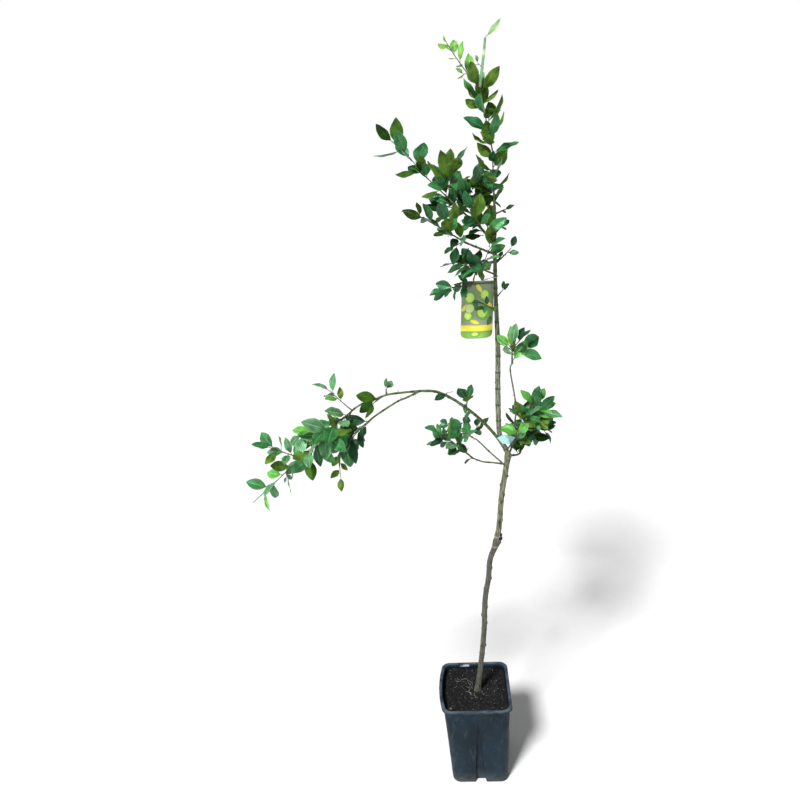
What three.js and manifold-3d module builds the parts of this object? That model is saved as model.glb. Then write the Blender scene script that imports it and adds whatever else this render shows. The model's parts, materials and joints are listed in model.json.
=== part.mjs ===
// A young lime tree on one thin trunk, growing in a square nursery pot.
// Millimetres, +Z up. The origin is the centre of the pot's flat underside and -Y faces the viewer.
import * as THREE from 'three';
import { mergeVertices } from 'three/addons/utils/BufferGeometryUtils.js';
import Module from 'manifold-3d';

const wasm = await Module();
wasm.setup();
const { Manifold, Mesh } = wasm;

const DEGREE = Math.PI / 180;
const UP = new THREE.Vector3(0, 0, 1);
const BACK = new THREE.Vector3(0, 1, 0);

// Pieces that touch stand SEAT apart, and leaves keep CLEAR from every other piece.
const SEAT = 0.3;
const CLEAR = 0.5;
// Edges shorter than this are dropped where twigs and leaves are fused
const SLIVER = 0.08;
// Points of a geometry that lie this close are one point of the solid
const WELD = 0.001;
// A cutting solid reaches this far past what it cuts
const PAST = 1;

// The pot
const POT = {
  height: 210,
  bottomWidth: 124,
  bodyWidth: 140,
  rimWidth: 150,
  rimHeight: 6,
  rimSlope: 0.5,
  corner: 18,
  cornerSteps: 3,
  wall: 2,
  floor: 2.5,
  yaw: -5.2,
  bow: 5.5,
  bowPoint: 0.65,
  fluteTop: 188,
  fluteMouth: 25,
  fluteFloor: 20,
  fluteDepth: 9,
  drainRadius: 6,
  drainAcross: 37,
  drainSides: 16,
};
// The flute never closes to less than these shares of its mouth and floor, so that its points stay apart
const LEAST_MOUTH = 0.1;
const LEAST_FLOOR = 0.05;
const SOIL_TOP = 200;

// The limbs: the points each one runs through, its radius at the start and at the tip, and its sides
const LIMBS = {
  trunk: {
    points: [
      [3, 0, 190], [16, 0, 280], [25.5, 2, 355], [31, 4, 430], [40, 2, 485], [45, 0, 530],
      [57, -2, 565], [65, -3, 605], [73, -2, 676], [81, 0, 717], [89, 0, 762],
    ],
    radii: [5.6, 5.2],
    sides: 10,
  },
  leader: {
    points: [
      [88, 0, 760], [86, 0, 768], [74, -4, 800], [72, -4, 836], [74, 0, 912],
      [77, 4, 970], [77, 6, 1042], [77, 4, 1110], [78, 2, 1170], [79, 0, 1222],
    ],
    radii: [5.0, 2.8],
    sides: 8,
  },
  arch_rise: {
    points: [[84, -1, 771], [68, -5, 800], [45, -15, 834], [17, -30, 868], [-11, -42, 896]],
    radii: [3.1, 2.6],
    sides: 6,
  },
  arch_span: {
    points: [[-11, -42, 896], [-33, -51, 913], [-50, -58, 922], [-72, -68, 928]],
    radii: [2.6, 2.2],
    sides: 6,
  },
  arch_upper: {
    points: [
      [-72, -68, 928], [-101, -80, 932], [-130, -90, 934],
      [-152, -95, 929], [-174, -100, 925], [-188, -104, 919],
    ],
    radii: [2.0, 1.5],
    sides: 6,
  },
  arch_lower: {
    points: [[-72, -68, 928], [-98, -80, 922], [-116, -90, 919], [-155, -108, 903], [-169, -116, 894]],
    radii: [1.8, 1.5],
    sides: 6,
  },
  upper_left: {
    points: [[77, 2, 1158], [60, 15, 1182], [48, 25, 1195], [38, 34, 1205]],
    radii: [2.3, 1.9],
    sides: 6,
  },
  lower_left: {
    points: [[77, 3, 1141], [50, -15, 1155], [25, -30, 1168]],
    radii: [2.0, 1.7],
    sides: 6,
  },
  right_main: {
    points: [[90, 1, 760], [101, 8, 778], [117, 15, 798]],
    radii: [1.9, 1.6],
    sides: 6,
  },
  right_low: {
    points: [[90, 1, 757], [113, 20, 750], [121, 30, 758], [133, 45, 775]],
    radii: [1.9, 1.5],
    sides: 6,
  },
  right_upright: {
    points: [
      [90, 0, 760], [95, 2, 770], [99, 3, 795], [101, -12, 830],
      [99, -38, 875], [88, -54, 945], [91, -58, 960],
    ],
    radii: [1.6, 1.2],
    sides: 6,
  },
  left_low: {
    points: [[84, 0, 736], [58, 30, 755], [40, 60, 768], [31, 75, 770]],
    radii: [1.6, 1.3],
    sides: 6,
  },
  left_low_front: {
    points: [[84, 0, 740], [58, -15, 753], [36, -32, 765], [14, -50, 783]],
    radii: [1.6, 1.3],
    sides: 6,
  },
};

// Steps between neighbouring points of a limb
const LIMB_STEPS = 3;

// Swellings of the trunk, in mm of radius: the flare at the soil, the graft union and the head
const FLARE = { swell: 3, reach: 10 };
const UNION = { swell: 1.8, height: 574, reach: 16 };
const HEAD = { swell: 1.6, height: 762, reach: 14 };

// The foliage. A mass is a stem with side sprays and leaves, all grown by one seeded rule.
// A spray leaves its parent at a fraction of the parent's length. Its bearing and rise are in
// degrees, bend is how much the rise changes on the way, and length is in mm. Leaves of about
// `leaf` mm stand every `gap` mm between the fractions first and last, and droop pulls them down.
const spray = (id, parent, at, bearing, rise, bend, length, first, last, gap, leaf, droop, seed) => ({
  id, parent, at, bearing, rise, bend, length, first, last, gap, leaf, droop, seed,
});
const MASSES = {
  crown_top: [
    spray('T0', 'leader', 1, 0, 90, 0, 90, 0.05, 1, 7, 46, 0, 141),
    spray('T3', 'T0', 0.98, -180, 80, 0, 65, 0.1, 1, 12, 58, 0, 45),
    spray('T4', 'T3', 0.95, -180, 80, 0, 35, 0.1, 1, 6, 54, 0, 42),
    spray('T1', 'T4', 1, -25, 78, 4, 70, 1, 1, 48, 32, 0, 235),
    spray('T2', 'T4', 0.96, 175, 50, 10, 85, 0.5, 1, 7, 28, 0, 1),
  ],
  upper_left: [
    spray('U0', 'upper_left', 1, 140, 40, 0, 120, 0.35, 1, 16, 44, 0, 275),
    spray('U1', 'U0', 0.43, -75, 60, 0, 40, 0.2, 1, 6, 64, 0, 152),
    spray('U2', 'U0', 0.6, 65, 35, 0, 70, 0.35, 1, 9, 40, 0, 369),
    spray('U3', 'U0', 0.12, -50, 55, 0, 45, 0.1, 1, 6, 58, 0, 36),
    spray('U4', 'U0', 0.17, 115, 5, 0, 45, 0.1, 1, 7, 52, 0, 27),
    spray('U5', 'U0', 0.95, 150, 50, 0, 40, 0.1, 1, 9, 50, 0, 110),
    spray('U6', 'U5', 0.95, 160, 45, 0, 45, 0.3, 1, 9, 50, 0, 111),
  ],
  lower_left: [
    spray('L0', 'lower_left', 1, -145, 30, 0, 60, 0.2, 1, 10, 36, 0, 9),
    spray('L1', 'L0', 0.58, 160, 70, 0, 20, 0.1, 1, 6, 46, 0, 300),
    spray('L4', 'L0', 1, -150, 30, 0, 55, 0.35, 1, 9, 34, 0, 283),
    spray('L3', 'L0', 0.11, -135, -10, 0, 25, 0.4, 1, 6, 32, 0.2, 20),
  ],
  inner_left: [
    spray('L2', 'leader', 0.85, -155, 55, 0, 80, 0.25, 1, 6, 48, 0.05, 23),
  ],
  low_left: [
    spray('S0', 'leader', 0.75, -150, 25, 0, 75, 0.3, 1, 8, 50, 0.1, 48),
    spray('S0b', 'S0', 0.43, -40, 65, 0, 35, 0.3, 1, 6, 48, 0.1, 323),
  ],
  low_hanging: [
    spray('S1', 'leader', 0.72, -165, 5, -10, 95, 0.4, 1, 6, 32, 0.1, 388),
  ],
  front_spray: [
    spray('F0', 'leader', 0.61, -125, 25, 0, 65, 0.35, 1, 9, 24, 0.05, 21),
  ],
  right_sprig: [
    spray('R0', 'leader', 0.79, 20, 30, 10, 40, 0.25, 1, 10, 22, 0, 350),
  ],
  right_leaf: [
    spray('R1', 'leader', 0.66, -60, 40, 0, 25, 1, 1, 8, 20, 0, 364),
  ],
  right_blade: [
    spray('R2', 'leader', 0.9, 25, 35, 0, 15, 1, 1, 8, 28, 0, 54),
  ],
  right_twig: [
    spray('R3', 'leader', 0.97, 20, 15, 0, 25, 0.6, 1, 6, 18, 0, 98),
  ],
  right_upper: [
    spray('Q0', 'right_upright', 1, -95, 85, 0, 35, 0.1, 1, 10, 46, 0.05, 283),
    spray('Q1', 'Q0', 0.44, 30, 20, 0, 20, 0.3, 1, 6, 52, 0.1, 181),
    spray('Q2', 'Q0', 0.76, 15, 40, 0, 25, 0.3, 1, 8, 26, 0, 332),
  ],
  right_main: [
    spray('P0', 'right_main', 0.98, 30, 50, 0, 65, 0.1, 1, 7, 50, 0, 4),
    spray('P1', 'P0', 0.33, -130, 45, 0, 40, 0.3, 1, 8, 32, 0.05, 239),
    spray('P2', 'P0', 0.7, -30, 5, 0, 20, 0.3, 1, 6, 50, 0.05, 17),
  ],
  right_back: [
    spray('P3', 'right_low', 0.86, 45, 5, 0, 75, 0.1, 1, 8, 36, 0.05, 261),
  ],
  right_front: [
    spray('P4', 'leader', 0.02, -65, 50, 0, 65, 0.6, 1, 8, 38, 0, 229),
  ],
  left_low_back: [
    spray('W0', 'left_low', 1, 135, 15, 0, 65, 0.05, 1, 5, 28, 0, 339),
    spray('W1', 'W0', 0.14, 30, 30, 0, 30, 0.3, 1, 7, 32, 0, 283),
    spray('W4', 'W0', 0.41, 65, 55, 0, 35, 0.4, 1, 9, 36, 0, 281),
  ],
  left_low_front: [
    spray('W2', 'left_low_front', 1, -145, 48, -6, 105, 0.02, 1, 10, 30, 0.05, 30),
    spray('W3', 'W2', 0.41, -120, 80, 0, 20, 0.3, 1, 5, 42, 0, 27),
    spray('W5', 'W2', 0.61, -170, 10, 0, 25, 0.4, 1, 6, 28, 0, 40),
  ],
  arch_leaf_a: [
    spray('A0', 'arch_rise', 0.82, 45, 70, 0, 15, 0.6, 1, 4, 36, 0, 390),
  ],
  arch_leaf_b: [
    spray('A1', 'arch_span', 0.29, -85, 35, 0, 15, 0.9, 1, 4, 30, 0.3, 355),
  ],
  arch_leaf_c: [
    spray('A2', 'arch_upper', 0.51, 95, 75, 0, 10, 1, 1, 4, 24, 0, 5),
  ],
  arch_leaf_d: [
    spray('A3', 'arch_upper', 0.59, -120, -5, 0, 25, 0.3, 1, 12, 62, 0.6, 8),
  ],
  arch_inner: [
    spray('E1', 'arch_lower', 0.95, -160, -25, -10, 40, 0, 1, 6, 44, 0.3, 327),
    spray('E2', 'E1', 0.43, 140, -45, 0, 65, 0.2, 1, 10, 54, 0.3, 280),
  ],
  arch_end: [
    spray('E6', 'arch_upper', 0.98, -165, -33, -4, 125, 0.6, 1, 11, 52, 0.1, 17),
    spray('E9', 'E6', 1, -165, -35, 0, 110, 0.1, 0.75, 10, 44, 0.1, 182),
    spray('E0', 'E6', 0.05, 165, 40, 10, 50, 0.5, 1, 6, 32, 0, 52),
    spray('E3', 'E6', 0.07, 180, -60, -30, 125, 0.55, 1, 14, 26, 0.1, 45),
    spray('E4', 'E6', 0.13, -120, 0, -10, 75, 0.05, 1, 7, 56, 0.3, 11),
    spray('E5', 'E6', 0.45, 180, 0, -10, 50, 0.15, 1, 9, 40, 0.3, 1),
    spray('E8', 'E6', 0.71, -150, -45, -10, 20, 0.1, 1, 9, 54, 0.4, 262),
    spray('E7', 'E6', 1, -150, 35, 0, 60, 0.3, 1, 7, 38, 0, 236),
  ],
  back_upper: [
    spray('B0', 'leader', 0.97, 95, 20, 0, 135, 0.3, 1, 9, 52, 0, 211),
  ],
  back_middle: [
    spray('B1', 'leader', 0.8, 105, -10, 0, 130, 0.45, 1, 13, 46, 0, 310),
  ],
  back_right: [
    spray('B2', 'leader', 0.07, 60, -5, 0, 175, 0.4, 1, 12, 62, 0, 102),
  ],
};
const STEM_RADII = [1.6, 0.8];
const TWIG_RADII = [1.0, 0.6];
const SPRAY_STEPS = 5;
const TWIG_SIDES = 3;

// Leaves: turn between neighbours, angle to the twig, spread of sizes and where the light comes from
const GOLDEN = 137.5;
const TURN_SPREAD = 30;
const SPLAY = 55;
const SPLAY_SPREAD = 25;
const TIP_SPLAY = 20;
const SIZE_LEAST = 0.72;
const SIZE_SPREAD = 0.4;
const ROLL = 1.4;
const LIGHT = new THREE.Vector3(-0.1, -0.55, 0.8);
const LEAN_ALONG = 0.35;
// A direction closer to another than this gives no steady direction across it
const LEAST_LEAN = 0.05;
const STEEP = 0.95;
const LEAF = { curl: 0.144, fold: 0.25, thick: 0.01, sections: [[0.32, 0.19], [0.7, 0.21]] };

// The label, its loop and the small tag
const LABEL = {
  centre: [48, 12.5, 1096],
  width: 60,
  sideHeight: 92,
  sag: 13,
  thick: 0.6,
  lean: 4.8,
  yaw: 8,
  holeBelow: 6,
  holeRadius: 1.7,
  lowSteps: 12,
  lowSquare: 4,
  lowBend: 0.35,
};
const HOLE_STEPS = 6;
const LOOP = {
  points: [
    [48, 12.8, 1090.4], [50, 8, 1092.5], [57, 4, 1098], [67, 0.8, 1101], [76.6, -0.25, 1101.5],
    [80.1, 1, 1102], [81.4, 4.2, 1103], [80.1, 7.4, 1102.5], [76.6, 8.65, 1102],
    [62, 16.5, 1096], [50.5, 16.8, 1091.6],
  ],
  radius: 0.6,
  steps: 30,
  sides: 5,
};
const TAG = {
  corners: [[67, 801], [77, 788], [96, 786], [102, 799], [80, 807]],
  front: -9.7,
  thick: 0.6,
  hole: { x: 79, z: 802.5, radius: 1.2 },
};

// A fraction of 1 is taken just short of a path's end
const NEAR_END = 0.999;

const vector = ([x, y, z]) => new THREE.Vector3(x, y, z);

// Random numbers from 0 to 1 that are always the same for one seed
function seeded(seed) {
  let state = (seed * 2654435761) % 2 ** 32;
  return () => {
    state = (state * 1664525 + 1013904223) % 2 ** 32;
    return state / 2 ** 32;
  };
}

function heading(bearing, rise) {
  const level = Math.cos(rise * DEGREE);
  return new THREE.Vector3(
    Math.cos(bearing * DEGREE) * level,
    Math.sin(bearing * DEGREE) * level,
    Math.sin(rise * DEGREE),
  );
}

// The path of a limb: a smooth curve through its points
function curve(points) {
  const smooth = new THREE.CatmullRomCurve3(points.map(vector), false, 'catmullrom', 0.5);
  return smooth.getPoints(LIMB_STEPS * (points.length - 1));
}

// The path of a spray: short steps whose rise changes evenly
function arc(start, { bearing, rise, bend, length }) {
  const path = [start.clone()];
  for (let k = 0; k < SPRAY_STEPS; k += 1) {
    const u = (k + 0.5) / SPRAY_STEPS;
    const step = heading(bearing, rise + bend * u).multiplyScalar(length / SPRAY_STEPS);
    path.push(path[k].clone().add(step));
  }
  return path;
}

function lengthOf(path) {
  return path.slice(1).reduce((sum, point, k) => sum + point.distanceTo(path[k]), 0);
}

// The point and the direction at a fraction of a path's length
function along(path, fraction) {
  let left = Math.min(fraction, NEAR_END) * lengthOf(path);
  let k = 0;
  while (k < path.length - 2 && left > path[k].distanceTo(path[k + 1])) {
    left -= path[k].distanceTo(path[k + 1]);
    k += 1;
  }
  const axis = path[k + 1].clone().sub(path[k]).normalize();
  return { point: path[k].clone().addScaledVector(axis, left), axis };
}

// A direction square to an axis, turned round it by some degrees
function across(axis, turn) {
  const steady = Math.abs(axis.y) < STEEP ? BACK : UP;
  const ref = axis.clone().cross(steady).normalize();
  const other = ref.clone().cross(axis);
  return ref.multiplyScalar(Math.cos(turn * DEGREE)).addScaledVector(other, Math.sin(turn * DEGREE));
}

// The seeded rule: where the leaves of a spray stand, which way they point and how long they are
function leafPlaces(path, { gap, leaf, first, last, droop, seed }) {
  const draw = seeded(seed);
  const count = Math.max(1, Math.floor((lengthOf(path) * (last - first)) / gap + 0.5));
  const phase = draw() * 360;
  const places = [];
  for (let k = 0; k <= count; k += 1) {
    const { point, axis } = along(path, first + ((last - first) * k) / count);
    const turn = phase + k * GOLDEN + TURN_SPREAD * (draw() - 0.5);
    let splay = SPLAY + SPLAY_SPREAD * (draw() - 0.5);
    const size = leaf * (SIZE_LEAST + SIZE_SPREAD * draw());
    const roll = ROLL * (draw() - 0.5);
    if (k === count && last === 1) splay = TIP_SPLAY * draw();
    const out = axis.clone().multiplyScalar(Math.cos(splay * DEGREE));
    out.addScaledVector(across(axis, turn), Math.sin(splay * DEGREE));
    out.addScaledVector(UP, -droop).normalize();
    places.push({ point, out, axis, size, roll });
  }
  return places;
}

// The upper side of a leaf turns to the light
function leafFace({ out, axis, roll }) {
  const face = LIGHT.clone().addScaledVector(axis, LEAN_ALONG);
  face.addScaledVector(out, -face.dot(out));
  if (face.length() < LEAST_LEAN) face.copy(across(out, 90));
  face.normalize();
  const side = out.clone().cross(face);
  return face.multiplyScalar(Math.cos(roll)).addScaledVector(side, Math.sin(roll)).normalize();
}

function solid(points, faces) {
  const mesh = new Mesh({
    numProp: 3,
    vertProperties: new Float32Array(points.flatMap((point) => point.toArray())),
    triVerts: new Uint32Array(faces.flat()),
  });
  return new Manifold(mesh);
}

// The solid of a closed geometry
function solidOf(geometry) {
  geometry.deleteAttribute('normal');
  geometry.deleteAttribute('uv');
  const welded = mergeVertices(geometry, WELD);
  const mesh = new Mesh({
    numProp: 3,
    vertProperties: welded.getAttribute('position').array,
    triVerts: new Uint32Array(welded.index.array),
  });
  return new Manifold(mesh);
}

// Triangles between two rings of a loft that start at these indices
function band(lower, upper, count) {
  const faces = [];
  for (let k = 0; k < count; k += 1) {
    const next = (k + 1) % count;
    faces.push([lower + k, lower + next, upper + next], [lower + k, upper + next, upper + k]);
  }
  return faces;
}

// A closed solid through rings of points, with flat ends
function loft(rings) {
  const count = rings[0].length;
  const top = (rings.length - 1) * count;
  const faces = [];
  for (let r = 0; r + 1 < rings.length; r += 1) {
    faces.push(...band(r * count, (r + 1) * count, count));
  }
  const middle = (ring) => {
    const sum = ring.reduce((total, point) => total.add(point), new THREE.Vector3());
    return sum.divideScalar(count);
  };
  const points = [...rings.flat(), middle(rings[0]), middle(rings[rings.length - 1])];
  const bottomMiddle = points.length - 2;
  const topMiddle = points.length - 1;
  for (let k = 0; k < count; k += 1) {
    const next = (k + 1) % count;
    faces.push([bottomMiddle, next, k], [topMiddle, top + k, top + next]);
  }
  return solid(points, faces);
}

// Rings round a path. Growing the limb makes it that much thicker and longer at both ends.
function ringsRound(path, sides, radiusAt, grow) {
  const last = path.length - 1;
  let side = null;
  return path.map((point, k) => {
    const axis = path[Math.min(k + 1, last)].clone().sub(path[Math.max(k - 1, 0)]).normalize();
    side = side ? side.clone().addScaledVector(axis, -side.dot(axis)).normalize() : across(axis, 0);
    const other = axis.clone().cross(side);
    const centre = point.clone();
    if (k === 0) centre.addScaledVector(axis, -grow);
    if (k === last) centre.addScaledVector(axis, grow);
    const radius = radiusAt(k / last, point) + grow;
    return Array.from({ length: sides }, (_, s) => {
      const angle = (s * 2 * Math.PI) / sides;
      return centre
        .clone()
        .addScaledVector(side, radius * Math.cos(angle))
        .addScaledVector(other, radius * Math.sin(angle));
    });
  });
}

const taper = ([start, end]) => (u) => start + (end - start) * u;

function trunkRadius(u, { z }) {
  const flare = FLARE.swell * Math.exp(-Math.max(0, z - SOIL_TOP) / FLARE.reach);
  const union = UNION.swell * Math.exp(-(((z - UNION.height) / UNION.reach) ** 2));
  const head = HEAD.swell * Math.exp(-(((z - HEAD.height) / HEAD.reach) ** 2));
  return taper(LIMBS.trunk.radii)(u) + flare + union + head;
}

function limbSolid(name, path, grow) {
  const { radii, sides } = LIMBS[name];
  const radiusAt = name === 'trunk' ? trunkRadius : taper(radii);
  return loft(ringsRound(path, sides, radiusAt, grow));
}

function largest(body) {
  const pieces = body.decompose();
  return pieces.reduce((best, piece) => (piece.volume() > best.volume() ? piece : best));
}

// A leaf: a thin folded blade that narrows to a point at both ends and curls back
function leafSolid(place) {
  const { point, out, size } = place;
  const face = leafFace(place);
  const side = out.clone().cross(face);
  const onMidrib = (s) =>
    point.clone().addScaledVector(out, size * s).addScaledVector(face, -LEAF.curl * size * s * s);
  const rings = LEAF.sections.map(([s, halfWidth]) => {
    const centre = onMidrib(s);
    const lift = LEAF.fold * halfWidth * size;
    const edge = (sign) => {
      return centre.clone().addScaledVector(side, sign * halfWidth * size).addScaledVector(face, lift);
    };
    const middle = (sign) => centre.clone().addScaledVector(face, sign * LEAF.thick * size);
    return [middle(1), edge(1), middle(-1), edge(-1)];
  });
  const points = [...rings.flat(), onMidrib(0), onMidrib(1)];
  const faces = band(0, 4, 4);
  for (let k = 0; k < 4; k += 1) {
    const next = (k + 1) % 4;
    faces.push([8, next, k], [9, 4 + k, 4 + next]);
  }
  return solid(points, faces);
}

// One level of the pot's side: a square with round corners, a flute in the middle of each face
// and a slight bow in the left face near the rim
function potRing(z, inset, spread = 0) {
  const rise = Math.min(z / (POT.height - POT.rimHeight), 1);
  const half = (POT.bottomWidth + (POT.bodyWidth - POT.bottomWidth) * rise) / 2 + spread - inset;
  const corner = POT.corner - inset;
  const straight = half - corner;
  const fluted = Math.max(0, 1 - z / POT.fluteTop);
  const depth = POT.fluteDepth * fluted;
  const mouth = (POT.fluteMouth * Math.max(fluted, LEAST_MOUTH)) / 2 + inset;
  const bed = (POT.fluteFloor * Math.max(fluted, LEAST_FLOOR)) / 2 + inset;
  const ring = [];
  for (let face = 0; face < 4; face += 1) {
    const turn = (face * 90 + POT.yaw) * DEGREE;
    const bow = (y) => POT.bow * rise * (1 - (y / straight) ** 2);
    const place = (x, y) => {
      const bowed = face === 2 && Math.abs(y) < straight ? x + bow(y) : x;
      ring.push(new THREE.Vector3(bowed, y, z).applyAxisAngle(UP, turn));
    };
    place(half, -straight * POT.bowPoint);
    place(half, -mouth);
    place(half - depth, -bed);
    place(half - depth, bed);
    place(half, mouth);
    place(half, straight * POT.bowPoint);
    for (let k = 0; k <= POT.cornerSteps; k += 1) {
      const angle = ((k / POT.cornerSteps) * Math.PI) / 2;
      place(straight + corner * Math.cos(angle), straight + corner * Math.sin(angle));
    }
  }
  return ring;
}

const POT_LEVELS = [0, 60, 120, POT.fluteTop];

function potSolid() {
  const lip = (POT.rimWidth - POT.bodyWidth) / 2;
  const underRim = POT.height - POT.rimHeight;
  const outside = loft([
    ...POT_LEVELS.map((z) => potRing(z, 0)),
    potRing(underRim, 0),
    potRing(underRim + POT.rimSlope, 0, lip),
    potRing(POT.height, 0, lip),
  ]);
  const levels = [POT.floor, ...POT_LEVELS.slice(1), underRim, POT.height + PAST];
  const inside = loft(levels.map((z) => potRing(z, POT.wall)));
  const drains = [45, 135, 225, 315].map((bearing) => {
    const depth = 2 * (POT.floor + PAST);
    const drain = new THREE.CylinderGeometry(POT.drainRadius, POT.drainRadius, depth, POT.drainSides);
    const reach = heading(bearing + POT.yaw, 0).multiplyScalar(POT.drainAcross * Math.SQRT2);
    return solidOf(drain.rotateX(90 * DEGREE)).translate(reach.toArray());
  });
  return outside.subtract(inside).subtract(Manifold.union(drains));
}

function soilSolid() {
  const levels = [POT.floor + SEAT, ...POT_LEVELS.slice(1), SOIL_TOP];
  return loft(levels.map((z) => potRing(z, POT.wall + SEAT)));
}

// A flat sheet standing up with its front at y = 0, from an outline in x and z and one round hole
function sheet(outline, hole, thick) {
  const shape = new THREE.Shape(outline.map(([x, z]) => new THREE.Vector2(x, z)));
  shape.holes.push(new THREE.Path().absarc(hole.x, hole.z, hole.radius, 0, 2 * Math.PI, false));
  const card = { depth: thick, bevelEnabled: false, curveSegments: HOLE_STEPS };
  return solidOf(new THREE.ExtrudeGeometry(shape, card).rotateX(90 * DEGREE).translate(0, thick, 0));
}

function labelSolid() {
  const half = LABEL.width / 2;
  const outline = [[half, 0], [-half, 0]];
  for (let k = 0; k <= LABEL.lowSteps; k += 1) {
    const x = -half * Math.cos((k / LABEL.lowSteps) * Math.PI);
    const round = (1 - (x / half) ** LABEL.lowSquare) ** LABEL.lowBend;
    outline.push([x, -LABEL.sideHeight - LABEL.sag * round]);
  }
  return sheet(outline, { x: 0, z: -LABEL.holeBelow, radius: LABEL.holeRadius }, LABEL.thick)
    .rotate([0, LABEL.lean, LABEL.yaw])
    .translate(LABEL.centre);
}

// The loop goes through the label's hole and round the leader
function loopSolid() {
  const smooth = new THREE.CatmullRomCurve3(LOOP.points.map(vector), true, 'catmullrom', 0.5);
  return solidOf(new THREE.TubeGeometry(smooth, LOOP.steps, LOOP.radius, LOOP.sides, true));
}

function tagSolid() {
  return sheet(TAG.corners, TAG.hole, TAG.thick).translate([0, TAG.front, 0]);
}

const paint = (name, color, roughness) => {
  return new THREE.MeshStandardMaterial({ name, color, roughness });
};
const PAINTS = {
  pot: paint('pot', 0x2f3c48, 0.6),
  soil: paint('soil', 0x3a3230, 1),
  bark: paint('bark', 0x6b604c, 0.9),
  foliage: paint('foliage', 0x2f6b35, 0.6),
  card: paint('card', 0xa9bf4a, 0.5),
  tie: paint('tie', 0xd8dcd8, 0.5),
  tag: paint('tag', 0xa9d6d2, 0.5),
};

const tree = new THREE.Group();
tree.name = 'potted_lime_tree';

function add(name, body, material) {
  const { vertProperties, triVerts } = body.getMesh();
  const geometry = new THREE.BufferGeometry();
  geometry.setAttribute('position', new THREE.BufferAttribute(vertProperties, 3));
  geometry.setIndex(new THREE.BufferAttribute(triVerts, 1));
  geometry.computeVertexNormals();
  const mesh = new THREE.Mesh(geometry, material);
  mesh.name = name;
  tree.add(mesh);
}

const pot = potSolid();
add('pot', pot, PAINTS.pot);
add('soil', soilSolid(), PAINTS.soil);

// Each limb is cut back from the ones before it, so that it starts on their skin
const paths = {};
const limbs = [];
const grownLimbs = [];
for (const [name, { points }] of Object.entries(LIMBS)) {
  paths[name] = curve(points);
  let body = limbSolid(name, paths[name], 0);
  if (name === 'trunk') body = body.trimByPlane([0, 0, 1], SOIL_TOP + SEAT);
  else body = largest(body.subtract(Manifold.union(grownLimbs)));
  limbs.push(body);
  grownLimbs.push(limbSolid(name, paths[name], SEAT));
  add(name === 'trunk' || name === 'leader' ? name : `bough_${name}`, body, PAINTS.bark);
}

const label = labelSolid();
const loop = loopSolid();
const tag = tagSolid();
add('label', label, PAINTS.card);
add('label_loop', loop, PAINTS.tie);
add('tag', tag, PAINTS.tag);

// The stems and side sprays of every mass come first, then its leaves where there is room
const taken = [pot, ...limbs, label, loop, tag];
const isClear = (body, others) => others.every((other) => body.minGap(other, CLEAR) >= CLEAR);
const limbRoom = Manifold.union(grownLimbs);
const growing = Object.entries(MASSES).map(([name, sprays]) => {
  const twigs = [];
  const kept = [];
  for (const [index, one] of sprays.entries()) {
    if (index > 0 && !kept.some(({ id }) => id === one.parent)) continue;
    const path = arc(along(paths[one.parent], one.at).point, one);
    const radii = index === 0 ? STEM_RADII : TWIG_RADII;
    let body = loft(ringsRound(path, TWIG_SIDES, taper(radii), 0));
    if (index === 0) body = largest(body.subtract(limbRoom));
    const others = index === 0 ? taken.filter((other) => !limbs.includes(other)) : taken;
    if (!isClear(body, others)) {
      if (index === 0) throw new Error(`the stem of ${name} meets another piece`);
      continue;
    }
    paths[one.id] = path;
    twigs.push(body);
    kept.push(one);
  }
  const wood = Manifold.union(twigs);
  taken.push(wood);
  return { name, wood, kept };
});

for (const { name, wood, kept } of growing) {
  const others = taken.filter((other) => other !== wood);
  const leaves = [];
  for (const one of kept) {
    for (const place of leafPlaces(paths[one.id], one)) {
      const body = leafSolid(place);
      if (isClear(body, others)) leaves.push(body);
    }
  }
  const mass = largest(Manifold.union([wood, ...leaves]).simplify(SLIVER));
  taken.push(mass);
  add(`foliage_${name}`, mass, PAINTS.foliage);
}

export default tree;
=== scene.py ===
# The looks of a young lime tree in a square nursery pot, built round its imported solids.
# Sizes are in millimetres, with +Z up and -Y towards the viewer. MM turns them into metres.
import json
from collections import namedtuple
from math import cos, exp, floor, hypot, pi, radians, sin, sqrt, tau

import bpy
import numpy as np
from mathutils import Matrix, Vector, noise
from mathutils.bvhtree import BVHTree

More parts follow.
